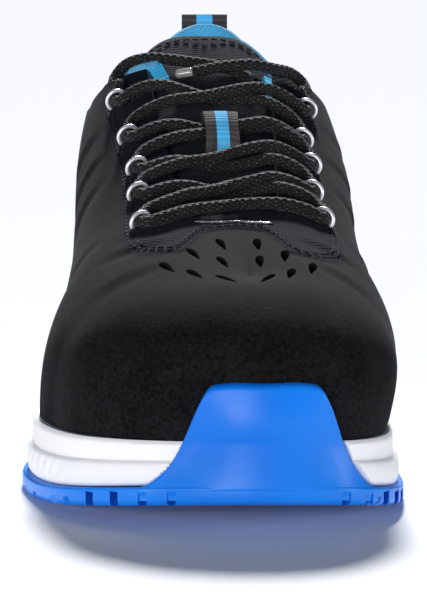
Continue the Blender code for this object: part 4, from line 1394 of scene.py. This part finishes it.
class SHOE_OT_tongue(bpy.types.Operator):
    """The padded tongue, its top edge rounded off."""
    bl_idname = "shoe.tongue"
    bl_label = "Tongue"

    def execute(self, context):
        share = np.linspace(0, 1, 90)[:, None]
        place = np.linspace(-1, 1, 44)[None]
        drop = np.where(place < 0, TONGUE_DROP_LATERAL, TONGUE_DROP_MEDIAL)
        y = TONGUE_TOE_END + (TONGUE_TOP - TONGUE_TOE_END) * share - drop * place ** 2 * share ** 3
        across = place * (TONGUE_HALF + TONGUE_FLARE * share)
        quilt = 0.35 * MM * np.sin(math.pi * np.clip(np.abs(place) * 1.1, 0, 1)) ** 2
        roll = np.sqrt(np.clip(1 - np.clip((share - 0.955) / 0.045, 0, 1) ** 2, 0, 1))
        edge = np.sqrt(np.clip(1 - np.abs(place) ** 6, 0, 1))
        full = TONGUE_THICK * (0.75 + 0.25 * share)
        thick = full * (0.12 + 0.88 * roll * edge)
        middle = -UPPER_WALL - 0.6 * MM - full / 2
        top = over(y, across, middle + thick / 2 + quilt)
        under = over(y, across, middle - thick / 2)
        mesh = slab_mesh("tongue_pad", top, under, metres_map(top))
        obj = add_piece("tongue_pad", mesh, ["textile", "lining", "binding"], ["tongue"])
        for poly in obj.data.polygons:
            up = poly.normal.z * 0.86 - poly.normal.y * 0.5
            if up < -0.25:
                poly.material_index = 1
        return {"FINISHED"}


class SHOE_OT_collar(bpy.types.Operator):
    """The padded blue lining rolled over the collar's edge."""
    bl_idname = "shoe.collar"
    bl_label = "Collar lining"

    def execute(self, context):
        start = float(side_s(0.215 * LENGTH, -1))
        s = np.linspace(start, TURNS - start, 220)
        edge = topline(face(s, np.full(len(s), 0.8))[:, 1]) + PAD_RISE
        turn = np.linspace(0, 2 * math.pi, 40, endpoint=False)
        pull = np.sign(np.cos(turn)) * np.abs(np.cos(turn)) ** 0.7
        rise = np.sign(np.sin(turn)) * np.abs(np.sin(turn)) ** 0.35
        inward = PAD_THICK * (0.5 - 0.5 * pull)
        fade = smoothstep(0, 0.12, np.linspace(0, 1, len(s))) * (
            1 - smoothstep(0.88, 1.0, np.linspace(0, 1, len(s))))
        z = edge[:, None] - PAD_DEPTH * (0.5 - 0.5 * rise)[None]
        depth = UPPER_WALL + 0.35 * MM + inward[None] * (0.45 + 0.55 * fade[:, None])
        points = wall(s[:, None], z, -depth)
        points = np.concatenate([points, points[:, :1]], 1)
        mesh = close_mesh(grid_mesh("collar_lining", points, metres_map(points)), 0.005 * MM)
        obj = add_piece("collar_lining", mesh, ["lining"], ["collar_pad"])
        self.front_corners()
        return {"FINISHED"}

    def front_corners(self):
        """The lining's roll along the collar's edge, from the throat back to the padding."""
        for side, word in SIDES:
            route = []
            for y in np.linspace(TOPLINE_FRONT + MM, 72 * MM, 16):
                hidden = float(smoothstep(41 * MM, 52 * MM, y))
                place = wall(side_s(y, side), float(topline(np.array(y))),
                             -UPPER_WALL * 0.5 - 2.2 * MM * hidden)
                route.append(place + np.array([0, 0, (0.6 - 1.6 * hidden) * MM]))
            line = smooth_route(route, 0.8 * MM)
            mesh = rope_mesh(f"collar_roll_{word}", line, 1.8 * MM, 16, depth=0.0)
            add_piece(f"collar_roll_{word}", mesh, ["lining"], ())


class SHOE_OT_webbing(bpy.types.Operator):
    """The lace keeper on the tongue and the pull tab behind the heel."""
    bl_idname = "shoe.webbing"
    bl_label = "Webbing"

    def execute(self, context):
        clear = LACE_DIAMETER * (1 + CROSSING_RISE) + LACE_LIFT - LACE_SAG + KEEPER_ROOM
        t = np.linspace(0, 1, 60)[:, None]
        share = np.linspace(0, 1, 18)[None]
        y = KEEPER_MIDDLE + (t - 0.5) * KEEPER_LENGTH
        base = (clear + UPPER_WALL) * np.sin(math.pi * t) ** 0.3 - UPPER_WALL - FIT_GAP
        across = (share - 0.5) * KEEPER_WIDTH
        top = over(y, across, base + WEBBING)
        under = over(y, across, base)
        maps = np.stack(np.broadcast_arrays(share, t * KEEPER_LENGTH * 1.5), -1)
        mesh = slab_mesh("lace_keeper", top, under, maps)
        add_piece("lace_keeper", mesh, ["webbing"], ["tongue_keeper"])
        self.pull_tab()
        self.tongue_tapes()
        self.loop_tabs()
        self.throat_edge()
        return {"FINISHED"}

    def strip(self, name, ends, width, lift, thick, look, slot):
        """A flat tape over the upper between two places, each given along and across."""
        (y0, x0), (y1, x1) = [np.array(e) * MM for e in ends]
        ahead = np.array([y1 - y0, x1 - x0])
        beside = np.array([-ahead[1], ahead[0]]) / np.linalg.norm(ahead)
        t = np.linspace(0, 1, 24)[:, None]
        side = (np.linspace(-0.5, 0.5, 8) * width)[None]
        y, x = y0 + ahead[0] * t + beside[0] * side, x0 + ahead[1] * t + beside[1] * side
        top, under = over(y, x, lift + thick), over(y, x, lift)
        share = np.broadcast_to(side / width + 0.5, y.shape)
        long = np.broadcast_to(t * float(np.linalg.norm(ahead)), y.shape)
        maps = np.stack([share, long], -1)
        mesh = slab_mesh(name, top, under, maps)
        return add_piece(name, mesh, [look], ())

    def tongue_tapes(self):
        """Two short blue tapes beside the tongue's top."""
        for word, ends in TONGUE_TAPES.items():
            self.strip(f"tongue_tape_{word}", ends, TAPE_WIDTH, -UPPER_WALL + 0.8 * MM,
                       1.6 * MM, "blue_tape", "blue_lining")

    def throat_edge(self):
        """The pale cord sewn along the throat's front edge."""
        route = [over(THROAT_FRONT - 0.4 * MM + 3 * MM * a * a, a * 14 * MM, 0.35 * MM)
                 for a in np.linspace(-1, 1, 15)]
        line = smooth_route(route, 0.6 * MM)
        mesh = rope_mesh("throat_edge", line, 0.5 * MM, 12, depth=0.0)
        add_piece("throat_edge", mesh, ["tip"], ())

    def loop_tabs(self):
        """A short webbing tab from each loop towards the throat."""
        for row in range(1, ROWS + 1):
            for side, word in SIDES:
                y, x = row_y(row, side) / MM, abs(row_across(row, side)) / MM
                ends = ((y + 0.4, side * (x - 1.5)), (y - 1.6, side * (x - 9.5)))
                self.strip(f"loop_tab_{word}_{row}", ends, TAPE_WIDTH, 0.15 * MM, 0.8 * MM,
                           "tape", "grey_webbing")

    def pull_tab(self):
        """The striped tab that stands up behind the heel."""
        heel = float(len(OUTLINE) - 1)
        edge = float(topline(np.array(TOPLINE_HEEL)))
        run = np.linalg.norm(wall(heel + 0.25, HEEL_TOP - 0.1 * TAB_LEG, 0.0)
                             - wall(heel - 0.25, HEEL_TOP - 0.1 * TAB_LEG, 0.0))
        span = 0.5 * TAB_WIDTH / run
        t = np.linspace(0, 1, 70)[:, None]
        share = np.linspace(0, 1, 22)[None]
        z = edge - TAB_LEG + (TAB_LEG + TAB_RISE) * t
        crown = np.sqrt(np.clip(1 - np.clip((t - 0.95) / 0.05, 0, 1) ** 2, 0, 1))
        base = wall(heel + (share - 0.5) * span, np.minimum(z, edge), FIT_GAP)
        middle = base[..., 1] - np.maximum(z - edge, 0) * TAB_LEAN + WEBBING
        half = WEBBING * 0.98 * crown
        x, y, z = np.broadcast_arrays((share - 0.5) * TAB_WIDTH, middle, z)
        top = np.stack([x, y + half, z], -1)
        under = np.stack([x, y - half, z], -1)
        maps = np.stack(np.broadcast_arrays(share, t * (TAB_LEG + TAB_RISE)), -1)
        mesh = slab_mesh("heel_tab", top, under, maps)
        add_piece("heel_tab", mesh, ["webbing"], ["heel_pull_tab"])


# Lacing


def loop_stops(row, side):
    """The lace's three places at a loop: before it, under its wire, and past it."""
    y, x = row_y(row, side), abs(row_across(row, side))
    return [over(y - 4.2 * MM, side * (x - 2.6 * MM), 2.3 * MM),
            over(y - 0.2 * MM, side * (x + 0.2 * MM), 2.1 * MM),
            over(y + 4.0 * MM, side * (x - 2.6 * MM), 2.4 * MM)]


def crossing_stops(row, side):
    """Places on a strand from a loop to the next loop across, over or under its partner."""
    level = LACE_DIAMETER / 2 + LACE_LIFT
    lift = LACE_DIAMETER * CROSSING_RISE if side < 0 else -0.35 * LACE_DIAMETER
    start, end = row_y(row, side) + LOOP_BEFORE, row_y(row - 1, -side) - LOOP_AFTER
    a = row_across(row, side) - side * STRAND_REACH
    b = row_across(row - 1, -side) + side * STRAND_REACH
    stops = []
    for k in range(11):
        t = k / 10
        ease = t * t * (3 - 2 * t)
        y = start + (end - start) * (STRAND_EASE * ease + (1 - STRAND_EASE) * t)
        bend = math.sin(math.pi * t) ** 2
        across = a + (b - a) * t
        sag = 0.55 * LACE_SAG * max(0.0, 1 - (across / SAG_HALF) ** 2) ** 0.8
        stops.append(over(y - LACE_BOW * bend, across, level + lift * bend - sag))
    return stops


class SHOE_OT_lace_ends(bpy.types.Operator):
    """The two free ends of the lace lying over the tongue; only the medial one has a tip."""
    bl_idname = "shoe.lace_ends"
    bl_label = "Lace ends"

    def execute(self, context):
        for word, stops in LACE_ENDS.items():
            route = [over(along * MM, across * MM, above * MM) for across, along, above in stops]
            line = smooth_route(route, 0.5 * MM)
            tipped = word == "medial"
            cloth = line[:-TIP_POINTS + 3] if tipped else line
            mesh = rope_mesh(f"lace_tail_{word}", cloth, LACE_DIAMETER / 2, 24)
            tail = add_piece(f"lace_tail_{word}", mesh, ["lace"], [f"lace_end_{word}"])
            if tipped:
                tip_mesh = rope_mesh(f"lace_tip_{word}", line[-TIP_POINTS:],
                                     LACE_DIAMETER / 2 * 0.80, 20, depth=0.0)
                tip = add_piece(f"lace_tip_{word}", tip_mesh, ["tip"], ())
        return {"FINISHED"}


class SHOE_OT_lacing(bpy.types.Operator):
    """One braided lace through all the loops, from the bottom bar up to both top loops."""
    bl_idname = "shoe.lacing"
    bl_label = "Lacing"

    def execute(self, context):
        level = LACE_DIAMETER / 2 + LACE_LIFT
        left, right = [(row_across(ROWS, side) - side * STRAND_REACH, row_y(ROWS, side) - LOOP_BEFORE)
                       for side in (-1, 1)]
        halves = []
        for side in (-1, 1):
            stops = []
            here = side
            for row in range(ROWS, 0, -1):
                stops += loop_stops(row, here)
                if row > 1:
                    stops += crossing_stops(row, here)
                    here = -here
            halves.append(stops)
        bar = [over(left[1] + (right[1] - left[1]) * k / 6
                    - LACE_BOW * math.sin(math.pi * k / 6) ** 2,
                    left[0] + (right[0] - left[0]) * k / 6, level) for k in range(7)]
        route = halves[0][::-1] + bar + halves[1]
        ends = [[over(a * MM, x * MM, u * MM) for x, a, u in LACE_ENDS[w][:1]]
                for w in ("lateral", "medial")]
        last_side = halves[0][-1]
        first = ends[0] if last_side[0] < 0 else ends[1]
        other = ends[1] if last_side[0] < 0 else ends[0]
        route = first + route + other
        line = smooth_route(route, 0.55 * MM)
        mesh = rope_mesh("strung_lace", line, LACE_DIAMETER / 2, 24)
        nodes = ["lace_bar"] + [f"lace_crossing_{k}" for k in range(1, ROWS)]
        add_piece("strung_lace", mesh, ["lace"], nodes)
        return {"FINISHED"}


class SHOE_OT_wire_loops(bpy.types.Operator):
    """A bright wire arch for each row and side."""
    bl_idname = "shoe.wire_loops"
    bl_label = "Wire loops"

    def execute(self, context):
        for row in range(1, ROWS + 1):
            for side, word in SIDES:
                route = []
                for k in range(13):
                    a = math.pi * k / 12
                    sideways = row_across(row, side) - LOOP_WIDTH / 2 * math.cos(a)
                    lift = 0.2 * MM + (LOOP_HEIGHT - 0.7 * MM) * math.sin(a) ** 0.8
                    route.append(over(row_y(row, side), sideways, lift))
                line = smooth_route(route, 0.45 * MM)
                name = f"wire_loop_{word}_{row}"
                mesh = rope_mesh(name, line, LOOP_WIRE / 2 * 1.2, 16, depth=0.0)
                add_piece(name, mesh, ["wire"], [f"lace_loop_{word}_{row}"])
        return {"FINISHED"}


# Stitching


def stitch_tree(thread_material):
    """A tree that lays stitches along the edges of a line mesh."""
    tree = bpy.data.node_groups.new("stitch_row", "GeometryNodeTree")
    sockets = tree.interface
    sockets.new_socket("Line", in_out="INPUT", socket_type="NodeSocketGeometry")
    for name in ("Pitch", "Length", "Thread"):
        sockets.new_socket(name, in_out="INPUT", socket_type="NodeSocketFloat")
    sockets.new_socket("Stitches", in_out="OUTPUT", socket_type="NodeSocketGeometry")
    add, join = tree.nodes.new, tree.links.new
    start, end = add("NodeGroupInput"), add("NodeGroupOutput")
    curve = add("GeometryNodeMeshToCurve")
    spread = add("GeometryNodeResampleCurve")
    spread.mode = "LENGTH"
    tangent = add("GeometryNodeInputTangent")
    turn = add("FunctionNodeAlignEulerToVector")
    turn.axis = "Z"
    body = add("GeometryNodeMeshCylinder")
    body.inputs["Vertices"].default_value = 7
    half = add("ShaderNodeMath")
    half.operation = "MULTIPLY"
    half.inputs[1].default_value = 0.5
    put = add("GeometryNodeInstanceOnPoints")
    real = add("GeometryNodeRealizeInstances")
    look = add("GeometryNodeSetMaterial")
    look.inputs["Material"].default_value = thread_material
    for source, out, target, into in (
            (start, "Line", curve, "Mesh"), (curve, 0, spread, "Curve"),
            (start, "Pitch", spread, "Length"), (spread, 0, put, "Points"),
            (tangent, 0, turn, "Vector"), (turn, 0, put, "Rotation"),
            (start, "Thread", half, 0), (half, 0, body, "Radius"),
            (start, "Length", body, "Depth"), (body, "Mesh", put, "Instance"),
            (put, 0, real, 0), (real, 0, look, 0), (look, 0, end, 0)):
        join(source.outputs[out], target.inputs[into])
    return tree


def seam_lines():
    """Each sewn line as a name and its points, on the upper and the tongue."""
    lift = 0.5 * MM
    for side, word in SIDES:
        for inset_by, rank in ((1.6 * MM, "outer"), (3.8 * MM, "inner")):
            points = []
            for y in np.arange(EYESTAY_FRONT + EYESTAY_NOSE, ROW_HIGH + 5 * MM, 2.5 * MM):
                reach = float(loop_line(y, side)) + EYESTAY_MARGIN - inset_by
                points.append(over(float(y), side * reach, lift))
            reach = float(loop_line(-1.0, side)) + EYESTAY_MARGIN - inset_by
            for k in range(1, 17):
                turn = math.pi / 2 * k / 16
                across = reach * math.cos(turn) ** 0.83
                front = float(eyestay_front(np.array(across))) + inset_by
                y = front + EYESTAY_NOSE * (1 - math.sin(turn)) - inset_by * math.cos(turn)
                points.insert(0, over(y, side * across, lift))
            yield f"eyestay_{rank}_{word}", points
        points = []
        for y in np.arange(THROAT_FRONT + 15 * MM, TOPLINE_FRONT - 6 * MM, 2.5 * MM):
            run = (y - THROAT_FRONT) / (TOPLINE_FRONT - THROAT_FRONT)
            half = (THROAT_WIDTH_LOW + (THROAT_WIDTH_HIGH - THROAT_WIDTH_LOW) * run) / 2
            points.append(over(float(y), side * (half + 2.2 * MM), lift))
        yield f"throat_{word}", points
    front = THROAT_FRONT - 1.6 * MM
    yield "throat_front", [over(front + 3 * MM * a * a, a * 13 * MM, lift)
                           for a in np.linspace(-1, 1, 17)]
    top = []
    for a in np.linspace(-0.9, 0.9, 31):
        drop = TONGUE_DROP_LATERAL if a < 0 else TONGUE_DROP_MEDIAL
        y = TONGUE_TOP - 5 * MM - drop * a * a
        top.append(over(y, a * 26 * MM, -UPPER_WALL + 0.05 * MM))
    yield "tongue_top", top


class SHOE_OT_stitching(bpy.types.Operator):
    """Rows of stitches round the eyestays, the throat and the tongue's top."""
    bl_idname = "shoe.stitching"
    bl_label = "Stitching"

    def execute(self, context):
        sizes = context.scene.shoe_sizes
        tree = stitch_tree(finish("thread"))
        for word, points in seam_lines():
            line = smooth_route(points, 0.8 * MM)
            mesh = bpy.data.meshes.new(f"stitches_{word}")
            edges = [(i, i + 1) for i in range(len(line) - 1)]
            mesh.from_pydata(line.tolist(), edges, [])
            obj = bpy.data.objects.new(f"stitches_{word}", mesh)
            context.scene.collection.objects.link(obj)
            step = obj.modifiers.new("stitch_row", "NODES")
            step.node_group = tree
            values = {"Pitch": sizes.stitch_pitch, "Length": sizes.stitch_length,
                      "Thread": sizes.thread}
            for item in tree.interface.items_tree:
                if item.item_type == "SOCKET" and item.name in values:
                    step[item.identifier] = values[item.name]
            applied(obj)
            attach(obj, "root")
        return {"FINISHED"}


# Stage


class SHOE_OT_stage(bpy.types.Operator):
    """Pale floor, soft studio lights and the camera low in front of the toe."""
    bl_idname = "shoe.stage"
    bl_label = "Stage"

    def execute(self, context):
        scene = context.scene
        camera = bpy.data.cameras.new("front_camera")
        camera.sensor_fit = "HORIZONTAL"
        camera.sensor_width = 36
        camera.lens = camera.sensor_width * FOCAL_PIXELS / PICTURE[0]
        camera.clip_end = 200
        eye = bpy.data.objects.new("front_camera", camera)
        pitch = math.atan((PICTURE[1] / 2 - HORIZON_ROW) / FOCAL_PIXELS)
        eye.location = CAMERA_PLACE
        eye.rotation_euler = (math.pi / 2 - pitch, 0, CAMERA_TURN)
        scene.collection.objects.link(eye)
        scene.camera = eye
        mesh = bpy.data.meshes.new("floor")
        reach = FLOOR_REACH
        mesh.from_pydata([(-reach, -reach, 0), (reach, -reach, 0), (reach, reach, 0),
                          (-reach, reach, 0)], [], [(0, 1, 2, 3)])
        mesh.materials.append(finish("floor"))
        floor = bpy.data.objects.new("floor", mesh)
        scene.collection.objects.link(floor)
        world = bpy.data.worlds.new("studio")
        scene.world = world
        world.use_nodes = True
        back = world.node_tree.nodes["Background"]
        back.inputs["Color"].default_value = (0.30, 0.50, 1.0, 1)
        back.inputs["Strength"].default_value = 0.11
        for name, values in LAMPS.items():
            self.lamp(name, *values)
        scene.view_settings.view_transform = "Standard"
        scene.view_settings.look = "None"
        return {"FINISHED"}

    def lamp(self, name, kind, place, target, power, spread):
        """A light aimed at a place; spread is an area's side or a sun's angle."""
        data = bpy.data.lights.new(name, kind)
        data.energy = power
        if kind == "SUN":
            data.angle = spread
        else:
            data.size = spread
        obj = bpy.data.objects.new(name, data)
        obj.location = place
        aim = Vector(target) - Vector(place)
        obj.rotation_euler = aim.to_track_quat("-Z", "Y").to_euler()
        bpy.context.scene.collection.objects.link(obj)


STEPS = ("stage", "lace_ends", "lacing", "outsole", "bumper", "midsole", "insole", "upper",
         "vamp_backing", "tongue", "collar", "webbing", "wire_loops", "stitching")


class SHOE_PT_sidebar(bpy.types.Panel):
    """The shoe's steps, sizes and colours in the 3D view's sidebar."""
    bl_label = "Sneaker"
    bl_idname = "SHOE_PT_sidebar"
    bl_space_type = "VIEW_3D"
    bl_region_type = "UI"
    bl_category = "Sneaker"

    def draw(self, context):
        for name in STEPS:
            self.layout.operator(f"shoe.{name}")
        for group in (context.scene.shoe_sizes, context.scene.shoe_colours):
            for key in group.__annotations__:
                self.layout.prop(group, key)


CLASSES = (ShoeSizes, ShoeColours, SHOE_OT_stage, SHOE_OT_lace_ends, SHOE_OT_lacing,
           SHOE_OT_outsole, SHOE_OT_bumper, SHOE_OT_midsole, SHOE_OT_insole, SHOE_OT_upper,
           SHOE_OT_vamp_backing, SHOE_OT_tongue, SHOE_OT_collar, SHOE_OT_webbing,
           SHOE_OT_wire_loops, SHOE_OT_stitching, SHOE_PT_sidebar)


def register():
    for cls in CLASSES:
        bpy.utils.register_class(cls)
    bpy.types.Scene.shoe_sizes = bpy.props.PointerProperty(type=ShoeSizes)
    bpy.types.Scene.shoe_colours = bpy.props.PointerProperty(type=ShoeColours)


def unregister():
    del bpy.types.Scene.shoe_sizes
    del bpy.types.Scene.shoe_colours
    for cls in reversed(CLASSES):
        bpy.utils.unregister_class(cls)


def main():
    register()
    for name in STEPS:
        getattr(bpy.ops.shoe, name)()
    bpy.context.view_layer.update()


if __name__ == "__main__":
    main()
